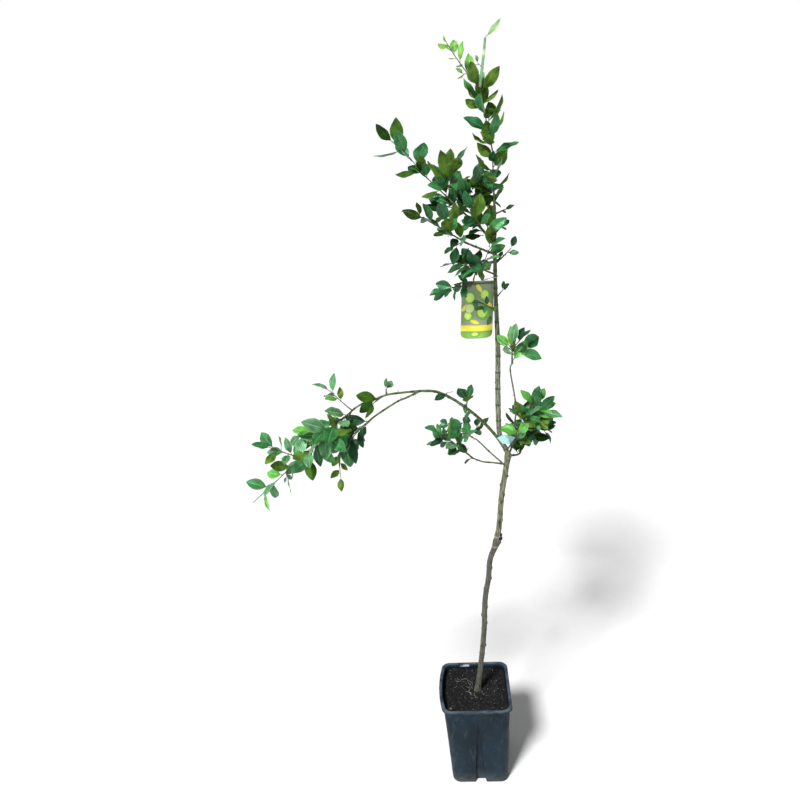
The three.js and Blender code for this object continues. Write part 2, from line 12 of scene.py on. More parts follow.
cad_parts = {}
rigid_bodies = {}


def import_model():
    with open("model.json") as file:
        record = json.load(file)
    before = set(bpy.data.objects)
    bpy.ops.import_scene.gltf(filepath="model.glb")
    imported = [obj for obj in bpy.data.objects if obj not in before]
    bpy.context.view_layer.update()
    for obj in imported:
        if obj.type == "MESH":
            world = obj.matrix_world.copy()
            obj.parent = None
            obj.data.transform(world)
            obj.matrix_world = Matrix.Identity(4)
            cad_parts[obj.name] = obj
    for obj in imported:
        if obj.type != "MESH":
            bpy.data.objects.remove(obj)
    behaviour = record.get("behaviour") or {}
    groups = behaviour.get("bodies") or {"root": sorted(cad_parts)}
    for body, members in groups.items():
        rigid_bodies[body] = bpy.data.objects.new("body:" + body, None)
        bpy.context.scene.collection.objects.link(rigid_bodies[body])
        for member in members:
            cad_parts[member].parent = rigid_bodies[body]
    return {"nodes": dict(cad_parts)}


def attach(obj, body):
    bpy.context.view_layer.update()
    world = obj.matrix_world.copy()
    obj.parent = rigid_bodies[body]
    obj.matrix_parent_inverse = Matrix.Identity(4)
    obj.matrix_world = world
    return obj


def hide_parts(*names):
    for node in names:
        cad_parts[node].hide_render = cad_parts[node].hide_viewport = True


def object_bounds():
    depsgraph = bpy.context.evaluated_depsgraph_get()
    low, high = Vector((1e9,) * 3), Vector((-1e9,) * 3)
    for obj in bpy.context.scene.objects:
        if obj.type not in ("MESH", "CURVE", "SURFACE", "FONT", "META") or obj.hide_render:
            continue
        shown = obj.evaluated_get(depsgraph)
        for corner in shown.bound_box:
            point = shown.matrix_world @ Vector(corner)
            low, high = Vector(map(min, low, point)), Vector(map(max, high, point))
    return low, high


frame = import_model()
solid_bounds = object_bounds()

MM = 0.001
UP = np.array((0.0, 0.0, 1.0))
BACK = np.array((0.0, 1.0, 0.0))

# The camera: its place, how far it looks down and how far it is rolled, in degrees
CAMERA_PLACE = (-109, -1145, 1294)
CAMERA_PITCH = 19.4
CAMERA_ROLL = -5.15
CAMERA_FOCUS = 654 / 800
SENSOR = 36

# The pot
POT_HEIGHT = 210
POT_BOTTOM = 124
POT_BODY = 140
RIM_HEIGHT = 6
POT_CORNER = 18
POT_WALL = 2
POT_FLOOR = 2.5
POT_YAW = -5.2
POT_BOW = 5.5
FLUTE_TOP = 188
FLUTE_MOUTH = 25
FLUTE_FLOOR = 20
FLUTE_DEPTH = 9
DRAIN_RADIUS = 6
DRAIN_ACROSS = 37
SOIL_TOP = 200
SEAT = 0.3

# The limbs: the points each one runs through and its radius at the start and at the tip
LIMBS = {
    "trunk": (
        [
            (3, 0, 190), (16, 0, 280), (25.5, 2, 355), (31, 4, 430), (40, 2, 485), (45, 0, 530),
            (57, -2, 565), (65, -3, 605), (73, -2, 676), (81, 0, 717), (89, 0, 762),
        ],
        (5.6, 5.2),
    ),
    "leader": (
        [
            (88, 0, 760), (86, 0, 768), (74, -4, 800), (72, -4, 836), (74, 0, 912),
            (77, 4, 970), (77, 6, 1042), (77, 4, 1110), (78, 2, 1170), (79, 0, 1222),
        ],
        (5.0, 2.8),
    ),
    "arch_rise": (
        [(84, -1, 771), (68, -5, 800), (45, -15, 834), (17, -30, 868), (-11, -42, 896)],
        (3.1, 2.6),
    ),
    "arch_span": (
        [(-11, -42, 896), (-33, -51, 913), (-50, -58, 922), (-72, -68, 928)],
        (2.6, 2.2),
    ),
    "arch_upper": (
        [
            (-72, -68, 928), (-101, -80, 932), (-130, -90, 934),
            (-152, -95, 929), (-174, -100, 925), (-188, -104, 919),
        ],
        (2.0, 1.5),
    ),
    "arch_lower": (
        [(-72, -68, 928), (-98, -80, 922), (-116, -90, 919), (-155, -108, 903), (-169, -116, 894)],
        (1.8, 1.5),
    ),
    "upper_left": ([(77, 2, 1158), (60, 15, 1182), (48, 25, 1195), (38, 34, 1205)], (2.3, 1.9)),
    "lower_left": ([(77, 3, 1141), (50, -15, 1155), (25, -30, 1168)], (2.0, 1.7)),
    "right_main": ([(90, 1, 760), (101, 8, 778), (117, 15, 798)], (1.9, 1.6)),
    "right_low": ([(90, 1, 757), (113, 20, 750), (121, 30, 758), (133, 45, 775)], (1.9, 1.5)),
    "right_upright": (
        [
            (90, 0, 760), (95, 2, 770), (99, 3, 795), (101, -12, 830),
            (99, -38, 875), (88, -54, 945), (91, -58, 960),
        ],
        (1.6, 1.2),
    ),
    "left_low": ([(84, 0, 736), (58, 30, 755), (40, 60, 768), (31, 75, 770)], (1.6, 1.3)),
    "left_low_front": ([(84, 0, 740), (58, -15, 753), (36, -32, 765), (14, -50, 783)], (1.6, 1.3)),
}

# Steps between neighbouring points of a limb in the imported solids
LIMB_STEPS = 3
THICK_LIMBS = ("trunk", "leader")
# Limbs that run on from another one and so have no collar
RUNNING_LIMBS = ("arch_span", "arch_upper", "arch_lower")
# The skins of other limbs and of thick ones: their sides, mm between rings and mm of relief
SKIN_SIDES = (20, 40)
SKIN_SPACING = (2.2, 1.6)
SKIN_RELIEF = (0.3, 0.55)

# Swellings, in mm of radius, with their height and reach: the trunk's flare at the soil, its graft
# union and its head, and the leader's thicker bark between the tag and the label's loop
FLARE_SWELL, FLARE_REACH = 3, 10
UNION_SWELL, UNION_HEIGHT, UNION_REACH = 1.8, 574, 16
HEAD_SWELL, HEAD_HEIGHT, HEAD_REACH = 1.6, 762, 14
BARK_SWELL, BARK_HEIGHT, BARK_REACH = 0.8, 925, 110
# The knob on the graft and the groove above it, in the same way
KNOB_SWELL, KNOB_HEIGHT, KNOB_REACH = 2.4, 570, 7
GROOVE_DEPTH, GROOVE_HEIGHT, GROOVE_REACH = 0.9, 581, 3

# The trunk's knots: height and size in mm, bearing in degrees, and whether a dark stub is left
KNOTS = (
    (715, -25, 2.6, True), (698, 180, 2.2, False), (676, 0, 1.8, False), (621, 0, 2.0, False),
    (587, -30, 3.6, True), (579, -25, 4.6, True), (509, 0, 2.0, False), (485, -5, 2.4, False),
    (459, 190, 1.6, False), (413, 0, 1.8, False), (394, 180, 2.2, False), (374, 0, 1.8, False),
    (318, -8, 2.6, False),
)
KNOT_REACH = 3
# The share of a knot's size by which the bark swells, with a stub and without one
STUB_BARK, KNOT_BARK = 0.3, 0.8
STUB_SIDES = 12

THORN_GAP = 27
THORN_LENGTH = 7
THORN_RADII = (0.9, 0.1)
THORN_SEED = 900
NODE_GAP = 31
# A limb's map runs on by one in so many mm
MAP_LENGTH = 100
# Pale bands of the bark below and above the graft, from its middle, and the heights in metres
# between which the leader's bark turns young
GRAFT_BANDS = (-12, 11)
YOUNG_BARK = (0.98, 1.1)

# The foliage, mass by mass. A spray stands at a fraction of its parent's length. Its bearing,
# rise and bend are in degrees. Leaves of about `leaf` mm stand every `gap` mm between the
# fractions first and last, and droop pulls them down. Then come its tint and the share of its
# leaves that turn their undersides to the viewer.
Spray = namedtuple(
    "Spray", "id parent at bearing rise bend length first last gap leaf droop seed tint turned"
)
MASSES = {
    "crown_top": [
        ("T0", "leader", 1, 0, 90, 0, 90, 0.05, 1, 7, 46, 0, 141, "mid", 0.6),
        ("T3", "T0", 0.98, -180, 80, 0, 65, 0.1, 1, 12, 58, 0, 45, "mid", 0.65),
        ("T4", "T3", 0.95, -180, 80, 0, 35, 0.1, 1, 6, 54, 0, 42, "mid", 0.6),
        ("T1", "T4", 1, -25, 78, 4, 70, 1, 1, 48, 32, 0, 235, "pale", 0.5),
        ("T2", "T4", 0.96, 175, 50, 10, 85, 0.5, 1, 7, 28, 0, 1, "young", 0.3),
    ],
    "upper_left": [
        ("U0", "upper_left", 1, 140, 40, 0, 120, 0.35, 1, 16, 44, 0, 275, "deep", 0.6),
        ("U1", "U0", 0.43, -75, 60, 0, 40, 0.2, 1, 6, 64, 0, 152, "mid", 0.4),
        ("U2", "U0", 0.6, 65, 35, 0, 70, 0.35, 1, 9, 40, 0, 369, "deep", 0.4),
        ("U3", "U0", 0.12, -50, 55, 0, 45, 0.1, 1, 6, 58, 0, 36, "deep", 0.4),
        ("U4", "U0", 0.17, 115, 5, 0, 45, 0.1, 1, 7, 52, 0, 27, "deep", 0.3),
        ("U5", "U0", 0.95, 150, 50, 0, 40, 0.1, 1, 9, 50, 0, 110, "mid", 0.5),
        ("U6", "U5", 0.95, 160, 45, 0, 45, 0.3, 1, 9, 50, 0, 111, "deep", 0.6),
    ],
    "lower_left": [
        ("L0", "lower_left", 1, -145, 30, 0, 60, 0.2, 1, 10, 36, 0, 9, "deep", 0.2),
        ("L1", "L0", 0.58, 160, 70, 0, 20, 0.1, 1, 6, 46, 0, 300, "deep", 0.1),
        ("L4", "L0", 1, -150, 30, 0, 55, 0.35, 1, 9, 34, 0, 283, "deep", 0.2),
        ("L3", "L0", 0.11, -135, -10, 0, 25, 0.4, 1, 6, 32, 0.2, 20, "deep", 0.1),
    ],
    "inner_left": [("L2", "leader", 0.85, -155, 55, 0, 80, 0.25, 1, 6, 48, 0.05, 23, "deep", 0.4)],
    "low_left": [
        ("S0", "leader", 0.75, -150, 25, 0, 75, 0.3, 1, 8, 50, 0.1, 48, "deep", 0.1),
        ("S0b", "S0", 0.43, -40, 65, 0, 35, 0.3, 1, 6, 48, 0.1, 323, "mid", 0.1),
    ],
    "low_hanging": [("S1", "leader", 0.72, -165, 5, -10, 95, 0.4, 1, 6, 32, 0.1, 388, "deep", 0.15)],
    "front_spray": [("F0", "leader", 0.61, -125, 25, 0, 65, 0.35, 1, 9, 24, 0.05, 21, "deep", 0.1)],
    "right_sprig": [("R0", "leader", 0.79, 20, 30, 10, 40, 0.25, 1, 10, 22, 0, 350, "dark", 0.2)],
    "right_leaf": [("R1", "leader", 0.66, -60, 40, 0, 25, 1, 1, 8, 20, 0, 364, "dark", 0.2)],
    "right_blade": [("R2", "leader", 0.9, 25, 35, 0, 15, 1, 1, 8, 28, 0, 54, "mid", 0.1)],
    "right_twig": [("R3", "leader", 0.97, 20, 15, 0, 25, 0.6, 1, 6, 18, 0, 98, "deep", 0.2)],
    "right_upper": [
        ("Q0", "right_upright", 1, -95, 85, 0, 35, 0.1, 1, 10, 46, 0.05, 283, "bright", 0.2),
        ("Q1", "Q0", 0.44, 30, 20, 0, 20, 0.3, 1, 6, 52, 0.1, 181, "mid", 0.2),
        ("Q2", "Q0", 0.76, 15, 40, 0, 25, 0.3, 1, 8, 26, 0, 332, "deep", 0.1),
    ],
    "right_main": [
        ("P0", "right_main", 0.98, 30, 50, 0, 65, 0.1, 1, 7, 50, 0, 4, "fresh", 0.1),
        ("P1", "P0", 0.33, -130, 45, 0, 40, 0.3, 1, 8, 32, 0.05, 239, "mid", 0.1),
        ("P2", "P0", 0.7, -30, 5, 0, 20, 0.3, 1, 6, 50, 0.05, 17, "fresh", 0.2),
    ],
    "right_back": [("P3", "right_low", 0.86, 45, 5, 0, 75, 0.1, 1, 8, 36, 0.05, 261, "deep", 0.2)],
    "right_front": [("P4", "leader", 0.02, -65, 50, 0, 65, 0.6, 1, 8, 38, 0, 229, "bright", 0.1)],
    "left_low_back": [
        ("W0", "left_low", 1, 135, 15, 0, 65, 0.05, 1, 5, 28, 0, 339, "deep", 0.1),
        ("W1", "W0", 0.14, 30, 30, 0, 30, 0.3, 1, 7, 32, 0, 283, "deep", 0.1),
        ("W4", "W0", 0.41, 65, 55, 0, 35, 0.4, 1, 9, 36, 0, 281, "deep", 0.1),
    ],
    "left_low_front": [
        ("W2", "left_low_front", 1, -145, 48, -6, 105, 0.02, 1, 10, 30, 0.05, 30, "deep", 0.1),
        ("W3", "W2", 0.41, -120, 80, 0, 20, 0.3, 1, 5, 42, 0, 27, "mid", 0.1),
        ("W5", "W2", 0.61, -170, 10, 0, 25, 0.4, 1, 6, 28, 0, 40, "mid", 0.1),
    ],
    "arch_leaf_a": [("A0", "arch_rise", 0.82, 45, 70, 0, 15, 0.6, 1, 4, 36, 0, 390, "deep", 0.2)],
    "arch_leaf_b": [("A1", "arch_span", 0.29, -85, 35, 0, 15, 0.9, 1, 4, 30, 0.3, 355, "dark", 0.5)],
    "arch_leaf_c": [("A2", "arch_upper", 0.51, 95, 75, 0, 10, 1, 1, 4, 24, 0, 5, "fresh", 0)],
    "arch_leaf_d": [("A3", "arch_upper", 0.59, -120, -5, 0, 25, 0.3, 1, 12, 62, 0.6, 8, "deep", 1)],
    "arch_inner": [
        ("E1", "arch_lower", 0.95, -160, -25, -10, 40, 0, 1, 6, 44, 0.3, 327, "dark", 0.1),
        ("E2", "E1", 0.43, 140, -45, 0, 65, 0.2, 1, 10, 54, 0.3, 280, "deep", 0.1),
    ],
    "arch_end": [
        ("E6", "arch_upper", 0.98, -165, -33, -4, 125, 0.6, 1, 11, 52, 0.1, 17, "fresh", 0.25),
        ("E9", "E6", 1, -165, -35, 0, 110, 0.1, 0.75, 10, 44, 0.1, 182, "fresh", 0.2),
        ("E0", "E6", 0.05, 165, 40, 10, 50, 0.5, 1, 6, 32, 0, 52, "fresh", 0.2),
        ("E3", "E6", 0.07, 180, -60, -30, 125, 0.55, 1, 14, 26, 0.1, 45, "mid", 0.6),
        ("E4", "E6", 0.13, -120, 0, -10, 75, 0.05, 1, 7, 56, 0.3, 11, "fresh", 0.1),
        ("E5", "E6", 0.45, 180, 0, -10, 50, 0.15, 1, 9, 40, 0.3, 1, "bright", 0.1),
        ("E8", "E6", 0.71, -150, -45, -10, 20, 0.1, 1, 9, 54, 0.4, 262, "deep", 0.1),
        ("E7", "E6", 1, -150, 35, 0, 60, 0.3, 1, 7, 38, 0, 236, "fresh", 0.3),
    ],
    "back_upper": [("B0", "leader", 0.97, 95, 20, 0, 135, 0.3, 1, 9, 52, 0, 211, "deep", 0.3)],
    "back_middle": [("B1", "leader", 0.8, 105, -10, 0, 130, 0.45, 1, 13, 46, 0, 310, "deep", 0.3)],
    "back_right": [("B2", "leader", 0.07, 60, -5, 0, 175, 0.4, 1, 12, 62, 0, 102, "deep", 0.3)],
}
STEM_RADII = (1.6, 0.8)
TWIG_RADII = (1.0, 0.6)
SPRAY_STEPS = 5

# Leaves: turn between neighbours, angle to the twig, spread of sizes and where the light comes from
GOLDEN = 137.5
TURN_SPREAD = 30
SPLAY = 55
SPLAY_SPREAD = 25
TIP_SPLAY = 20
SIZE_LEAST = 0.72
SIZE_SPREAD = 0.4
ROLL = 1.4
LIGHT = np.array((-0.1, -0.55, 0.8))
LEAF_CURL = 0.144
PETIOLE_END = 0.15
LEAF_HALF_WIDTH = 0.235
LEAF_ROWS = 16
LEAF_COLUMNS = 9

# Colours are linear red, green and blue: the upper side and the underside of each tint
LEAF_COLOURS = {
    # The dark tint is partly the leaves' own deep green and partly painted shade for leaves deep in the
    # foliage
    "dark": ((0.004, 0.03, 0.01), (0.014, 0.042, 0.004)),
    "deep": ((0.01, 0.084, 0.023), (0.034, 0.085, 0.008)),
    "mid": ((0.03, 0.165, 0.044), (0.07, 0.145, 0.018)),
    "fresh": ((0.09, 0.265, 0.115), (0.1, 0.2, 0.03)),
    "bright": ((0.1, 0.37, 0.06), (0.16, 0.31, 0.04)),
    "young": ((0.17, 0.42, 0.08), (0.24, 0.4, 0.07)),
    "pale": ((0.22, 0.4, 0.22), (0.24, 0.38, 0.17)),
}
# A leaf may be one step paler or darker than its spray's tint
TINT_STEPS = ["dark", "deep", "mid", "fresh", "bright"]
PALER_SHARE = 0.22
DARKER_SHARE = 0.3
# The colour of a leaf's gloss
SHEEN = (0.45, 1.0, 0.62)
# How strongly the side veins of a tint show
VEIN_SHARE = {"mid": 0.35, "fresh": 0.6, "bright": 0.65}
PLAIN_VEINS = 0.2
# A leaf longer than this becomes two leaves of like reach, except on these sprays
LARGE_LEAF = 48
WHOLE_LEAVES = ("T1", "T2", "T4", "U5", "U6", "R2")
# Sprays whose leaves are smaller in the photo than in the solids
SMALLER_LEAVES = {"A3": 0.72}
# Further shoots on the sprays that are densest in the photo
DENSE_SHOOTS = {"P0": 4, "P1": 3, "P2": 1, "P3": 4, "P4": 6}
# Leafy shoots that stand on a bough itself: their tint, seed and number
BOUGH_SHOOTS = {"right_main": ("fresh", 7386, 7), "right_low": ("deep", 7343, 6)}
# Side shoots stand about so many mm apart, and their leaves are so long at least, on the dense
# sprays and on the others
SHOOT_GAP = 60
DENSE_SHOOT_LEAF, SHOOT_LEAF = 26, 11
# The share of the leaves with a bud's spur at their foot, and the least such leaf
SPUR_SHARE, SPUR_LEAF = 0.4, 30
# What a spray's seed is raised by for the shapes of its leaves and for its shoots
SHAPE_SEED, SHOOT_SEED = 5000, 7000
# The stalk of the top shoot
TOP_STALK = (2.6, 1.9)
# Leaves of the crown's tip that the photo shows otherwise, by their number along the spray: the
# share of their size, the way they point and their roll
TIP_LEAVES = {
    "T1": {1: (1.45, (0.85, -0.1, 0.75), 0.0)},
    "T2": {2: (0.5, (-1.0, 0.04, 0.06), 0.3), 6: (0.5, (-0.47, 0.02, 0.88), 0.3)},
    "T4": {
        1: (0.62, (0.8, 0.1, 0.45), 0.0),
        4: (0.78, (0.68, -0.3, 0.7), 0.9),
        5: (0.78, (-0.42, -0.35, 0.85), -1.0),
    },
}
# A young upright leaf behind the foot of the tip's left shoot: its place along the shoot, its size
# and its roll
YOUNG_LEAF = (0.25, 38, 0.4)


def seeded(seed):
    """Random numbers from 0 to 1 that are always the same for one seed"""
    state = (seed * 2654435761) % 2**32

    def draw():
        nonlocal state
        state = (state * 1664525 + 1013904223) % 2**32
        return state / 2**32

    return draw


def unit(vector):
    return vector / np.linalg.norm(vector)


def heading(bearing, rise):
    bearing, rise = radians(bearing), radians(rise)
    level = cos(rise)
    return np.array((cos(bearing) * level, sin(bearing) * level, sin(rise)))


def curve(points, steps, closed=False):
    """A smooth path through points, with a number of steps between neighbours"""
    points = [np.array(point, float) for point in points]
    if closed:
        points = [points[-1], *points, points[0], points[1]]
    else:
        points = [2 * points[0] - points[1], *points, 2 * points[-1] - points[-2]]
    path = []
    spans = len(points) - 3
    for k in range(spans * steps + 1):
        span = min(k // steps, spans - 1)
        w = k / steps - span
        before, start, end, after = points[span : span + 4]
        leave, arrive = (end - before) / 2, (after - start) / 2
        path.append(
            start
            + leave * w
            + (3 * (end - start) - 2 * leave - arrive) * w**2
            + (2 * (start - end) + leave + arrive) * w**3
        )
    return np.array(path)


def arc(start, spray):
    """The path of a spray: short steps whose rise changes evenly"""
    path = [np.array(start, float)]
    for k in range(SPRAY_STEPS):
        u = (k + 0.5) / SPRAY_STEPS
        step = heading(spray.bearing, spray.rise + spray.bend * u) * spray.length / SPRAY_STEPS
        path.append(path[-1] + step)
    return np.array(path)


def length_of(path):
    return np.linalg.norm(np.diff(path, axis=0), axis=1).sum()


def along(path, fraction):
    """The point and the direction at a fraction of a path's length"""
    left = min(fraction, 0.999) * length_of(path)
    k = 0
    while k < len(path) - 2 and left > np.linalg.norm(path[k + 1] - path[k]):
        left -= np.linalg.norm(path[k + 1] - path[k])
        k += 1
    axis = unit(path[k + 1] - path[k])
    return path[k] + axis * left, axis


def across(axis, turn):
    """A direction square to an axis, turned round it by some degrees"""
    ref = unit(np.cross(axis, BACK if abs(axis[1]) < 0.95 else UP))
    turn = radians(turn)
    return ref * cos(turn) + np.cross(ref, axis) * sin(turn)


def leaf_places(path, spray):
    """The seeded rule: where the leaves stand, which way they point and how long they are"""
    draw = seeded(spray.seed)
    share = spray.last - spray.first
    count = max(1, floor(length_of(path) * share / spray.gap + 0.5))
    phase = draw() * 360
    places = []
    for k in range(count + 1):
        point, axis = along(path, spray.first + share * k / count)
        turn = phase + k * GOLDEN + TURN_SPREAD * (draw() - 0.5)
        splay = SPLAY + SPLAY_SPREAD * (draw() - 0.5)
        size = spray.leaf * (SIZE_LEAST + SIZE_SPREAD * draw())
        roll = ROLL * (draw() - 0.5)
        if k == count and spray.last == 1:
            splay = TIP_SPLAY * draw()
        splay = radians(splay)
        out = axis * cos(splay) + across(axis, turn) * sin(splay) - UP * spray.droop
        places.append((point, unit(out), axis, size, roll))
    return places


def leaf_face(out, axis, roll):
    """The upper side of a leaf turns to the light"""
    face = axis * 0.35 + LIGHT
    face = face - out * (face @ out)
    if np.linalg.norm(face) < 0.05:
        face = across(out, 90)
    face = unit(face)
    return unit(face * cos(roll) + np.cross(out, face) * sin(roll))


def put(name, data):
    """A new object that stands in the scene"""
    thing = bpy.data.objects.new(name, data)
    bpy.context.scene.collection.objects.link(thing)
    return thing


def mesh_of(name, points, faces):
    """A mesh from points in millimetres"""
    mesh = bpy.data.meshes.new(name)
    mesh.from_pydata((np.array(points) * MM).tolist(), [], faces)
    return mesh


class Pile:
    """Points and faces that are joined into one mesh, with a material slot and a map for each"""

    def __init__(self):
        self.points = []
        self.maps = []
        self.faces = []
        self.slots = []
        self.count = 0

    def add(self, points, faces, slot=0, places=None):
        points = np.asarray(points, float).reshape(-1, 3)
        self.points.append(points)
        self.maps.append(np.zeros((len(points), 2)) if places is None else np.asarray(places, float))
        self.faces.extend([[self.count + k for k in face] for face in faces])
        self.slots.extend([slot] * len(faces))
        self.count += len(points)

    def piece(self, name, materials, slot, nodes=(), sharp=None):
        mesh = mesh_of(name, np.concatenate(self.points), self.faces)
        corners = np.array([k for face in self.faces for k in face])
        layer = mesh.uv_layers.new(name="map")
        layer.data.foreach_set("uv", np.concatenate(self.maps)[corners].astype(np.float32).ravel())
        mesh.polygons.foreach_set("material_index", self.slots)
        mesh.polygons.foreach_set("use_smooth", [True] * len(self.faces))
        for material in materials:
            mesh.materials.append(material)
        if sharp:
            mesh.set_sharp_from_angle(angle=radians(sharp))
        mesh.update()
        thing = put(name, mesh)
        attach(thing, "root")
        if nodes:
            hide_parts(*nodes)
        return thing


def grid_faces(rows, columns, closed=False):
    """Four-sided faces over a grid of points. A closed grid joins its last column to its first."""
    faces = []
    for r in range(rows - 1):
        for c in range(columns if closed else columns - 1):
            a = r * columns + c
            b = r * columns + (c + 1) % columns
            faces.append((a, b, b + columns, a + columns))
    return faces


def capped_faces(rows, columns):
    """Faces over a closed grid of points that is followed by the middle of each end"""
    faces = grid_faces(rows, columns, closed=True)
    low = rows * columns
    top = low - columns
    for c in range(columns):
        after = (c + 1) % columns
        faces += [(low, after, c), (low + 1, top + c, top + after)]
    return faces


def tube(path, radius_at, sides, relief=None):
    """Rings of points round a path, with a cap at each end"""
    last = len(path) - 1
    side = None
    points = []
    maps = []
    run = 0
    for k, point in enumerate(path):
        axis = unit(path[min(k + 1, last)] - path[max(k - 1, 0)])
        side = across(axis, 0) if side is None else unit(side - axis * (side @ axis))
        other = np.cross(axis, side)
        run += np.linalg.norm(point - path[k - 1]) if k else 0
        radius = radius_at(k / last, point)
        for s in range(sides):
            angle = tau * s / sides
            out = side * cos(angle) + other * sin(angle)
            reach = radius + (relief(point + out * radius, out, run, angle) if relief else 0)
            points.append(point + out * reach)
            maps.append((s / sides, run / MAP_LENGTH))
    points += [path[0], path[-1]]
    maps += [(0, 0), (0, run / MAP_LENGTH)]
    return points, capped_faces(len(path), sides), 0, maps


# The rings of a small stone: their height and width
BLOB_LEVELS = ((-0.6, 0.75), (0.1, 1.0), (0.7, 0.65))
BLOB_COLUMNS = 6


def blob(centre, size, draw, flat=0.7):
    """A rough small stone or crumb"""
    points = []
    for level, width in BLOB_LEVELS:
        for c in range(BLOB_COLUMNS):
            angle = tau * (c + 0.5 * draw()) / BLOB_COLUMNS
            reach = size * width * (0.7 + 0.5 * draw())
            rise = size * flat * (level + 0.3 * (draw() - 0.5))
            points.append(centre + np.array((cos(angle) * reach, sin(angle) * reach, rise)))
    points += [centre - UP * size * flat, centre + UP * size * flat]
    return points, capped_faces(len(BLOB_LEVELS), BLOB_COLUMNS)


def taper(radii):
    return lambda u, point: radii[0] + (radii[1] - radii[0]) * u


def collar(radius_at, length, swell=0.8):
    """A limb swells where it leaves its parent"""
    return lambda u, point: radius_at(u, point) + swell * exp(-u * length / 5)


def hump(value, middle, reach, power=2):
    """A smooth hump: 1 at the middle, fading out beyond the reach on both sides"""
    return exp(-(((value - middle) / reach) ** power))


def trunk_radius(u, point):
    height = point[2]
    flare = FLARE_SWELL * exp(-max(0, height - SOIL_TOP) / FLARE_REACH)
    union = UNION_SWELL * hump(height, UNION_HEIGHT, UNION_REACH)
    head = HEAD_SWELL * hump(height, HEAD_HEIGHT, HEAD_REACH)
    return taper(LIMBS["trunk"][1])(u, point) + flare + union + head


class Look:
    """Short ways to build one material, or the world, from nodes"""

    def __init__(self, name, world=False):
        self.material = (bpy.data.worlds if world else bpy.data.materials).new(name)
        self.material.use_nodes = True
        self.tree = self.material.node_tree
        self.shader = self.tree.nodes.get("Principled BSDF")

    def set(self, socket, value):
        if isinstance(value, bpy.types.NodeSocket):
            self.tree.links.new(value, socket)
        elif isinstance(value, tuple) and len(value) == 3 and socket.type == "RGBA":
            socket.default_value = (*value, 1)
        else:
            socket.default_value = value

    def node(self, kind, **inputs):
        made = self.tree.nodes.new(kind)
        for name, value in inputs.items():
            self.set(made.inputs[name.replace("_", " ")], value)
        return made

    def maths(self, operation, *values):
        made = self.tree.nodes.new("ShaderNodeMath")
        made.operation = operation
        for socket, value in zip(made.inputs, values):
            self.set(socket, value)
        return made.outputs[0]

    def times(self, first, second):
        return self.maths("MULTIPLY", first, second)

    def off(self, value, middle):
        """How far a value is from a middle one"""
        return self.maths("ABSOLUTE", self.maths("SUBTRACT", value, middle))

    def parts(self, place):
        """The three parts of a kind of texture coordinate"""
        place = self.node("ShaderNodeTexCoord").outputs[place]
        return self.node("ShaderNodeSeparateXYZ", Vector=place).outputs

    def noise(self, scale, detail=3, stretch=(1, 1, 1), roughness=0.5):
        place = self.node("ShaderNodeTexCoord").outputs["Object"]
        where = self.node("ShaderNodeMapping", Vector=place, Scale=stretch).outputs[0]
        inputs = {"Vector": where, "Scale": scale, "Detail": detail, "Roughness": roughness}
        return self.node("ShaderNodeTexNoise", **inputs).outputs[0]

    def between(self, value, low, high, start=0.0, end=1.0):
        made = self.node("ShaderNodeMapRange", Value=value)
        for name, number in zip(("From Min", "From Max", "To Min", "To Max"), (low, high, start, end)):
            self.set(made.inputs[name], number)
        return made.outputs[0]

    def mix(self, share, first, second):
        made = self.tree.nodes.new("ShaderNodeMix")
        made.data_type = "RGBA"
        sockets = {socket.identifier: socket for socket in made.inputs}
        self.set(sockets["Factor_Float"], share)
        self.set(sockets["A_Color"], first)
        self.set(sockets["B_Color"], second)
        return next(socket for socket in made.outputs if socket.identifier == "Result_Color")

    def over(self, ground, colour, share, *others):
        """A colour laid over a ground by the product of some shares"""
        for other in others:
            share = self.times(share, other)
        return self.mix(share, ground, colour)

    def finish(self, colour, roughness, relief=None, strength=0.3, depth=0.4, gloss=0.5):
        self.set(self.shader.inputs["Base Color"], colour)
        self.set(self.shader.inputs["Roughness"], roughness)
        self.shader.inputs["Specular IOR Level"].default_value = gloss
        if relief is not None:
            bump = self.node("ShaderNodeBump", Strength=strength, Distance=depth * MM, Height=relief)
            self.set(self.shader.inputs["Normal"], bump.outputs[0])
        return self.material


def tinted(colour, factor):
    return tuple(min(1.0, part * factor) for part in colour)


def leaf_look(name, colour, under, veined):
    """A leaf's skin: a pale midrib, faint side veins, a mottled ground and painted shade that darkens it
    towards the stalk
    """
    look = Look(name)
    run, aside, _ = look.parts("UV")
    away = look.times(look.off(aside, 0.5), 2.0)
    wave = look.maths("SUBTRACT", look.times(run, 9.0), look.times(away, 2.6))
    ridge = look.off(look.maths("FRACT", wave), 0.5)
    veins = look.times(look.between(ridge, 0.38, 0.48), veined)
    lines = look.maths("MAXIMUM", veins, look.between(away, 0.12, 0.03))
    ground = look.mix(look.between(look.noise(60, 4), 0.35, 0.65), tinted(colour, 0.5), tinted(colour, 1.5))
    # Painted shade: the ground darkens towards the leaf's stalk, standing in for the shade inside the
    # clusters
    ground = look.mix(look.between(run, 0.45, 0.0, 0.0, 0.5), ground, tinted(colour, 0.3))
    vein_colour = (colour[0] * 2.5 + 0.04, colour[1] * 1.6 + 0.08, colour[2] * 1.5 + 0.02)
    shown = look.over(ground, vein_colour, lines, 0.35 if under else 0.85)
    shown = look.over(shown, vein_colour, look.between(away, 0.72, 1.0), veined)
    relief = lines if under else look.maths("SUBTRACT", 1.0, lines)
    shine = (0.6, 0.75) if under else (0.3, 0.46)
    roughness = look.between(look.noise(90, 2), 0.3, 0.7, *shine)
    look.set(look.shader.inputs["Specular Tint"], SHEEN)
    return look.finish(shown, roughness, relief, strength=0.8, depth=1.0, gloss=0.12 if under else 0.8)


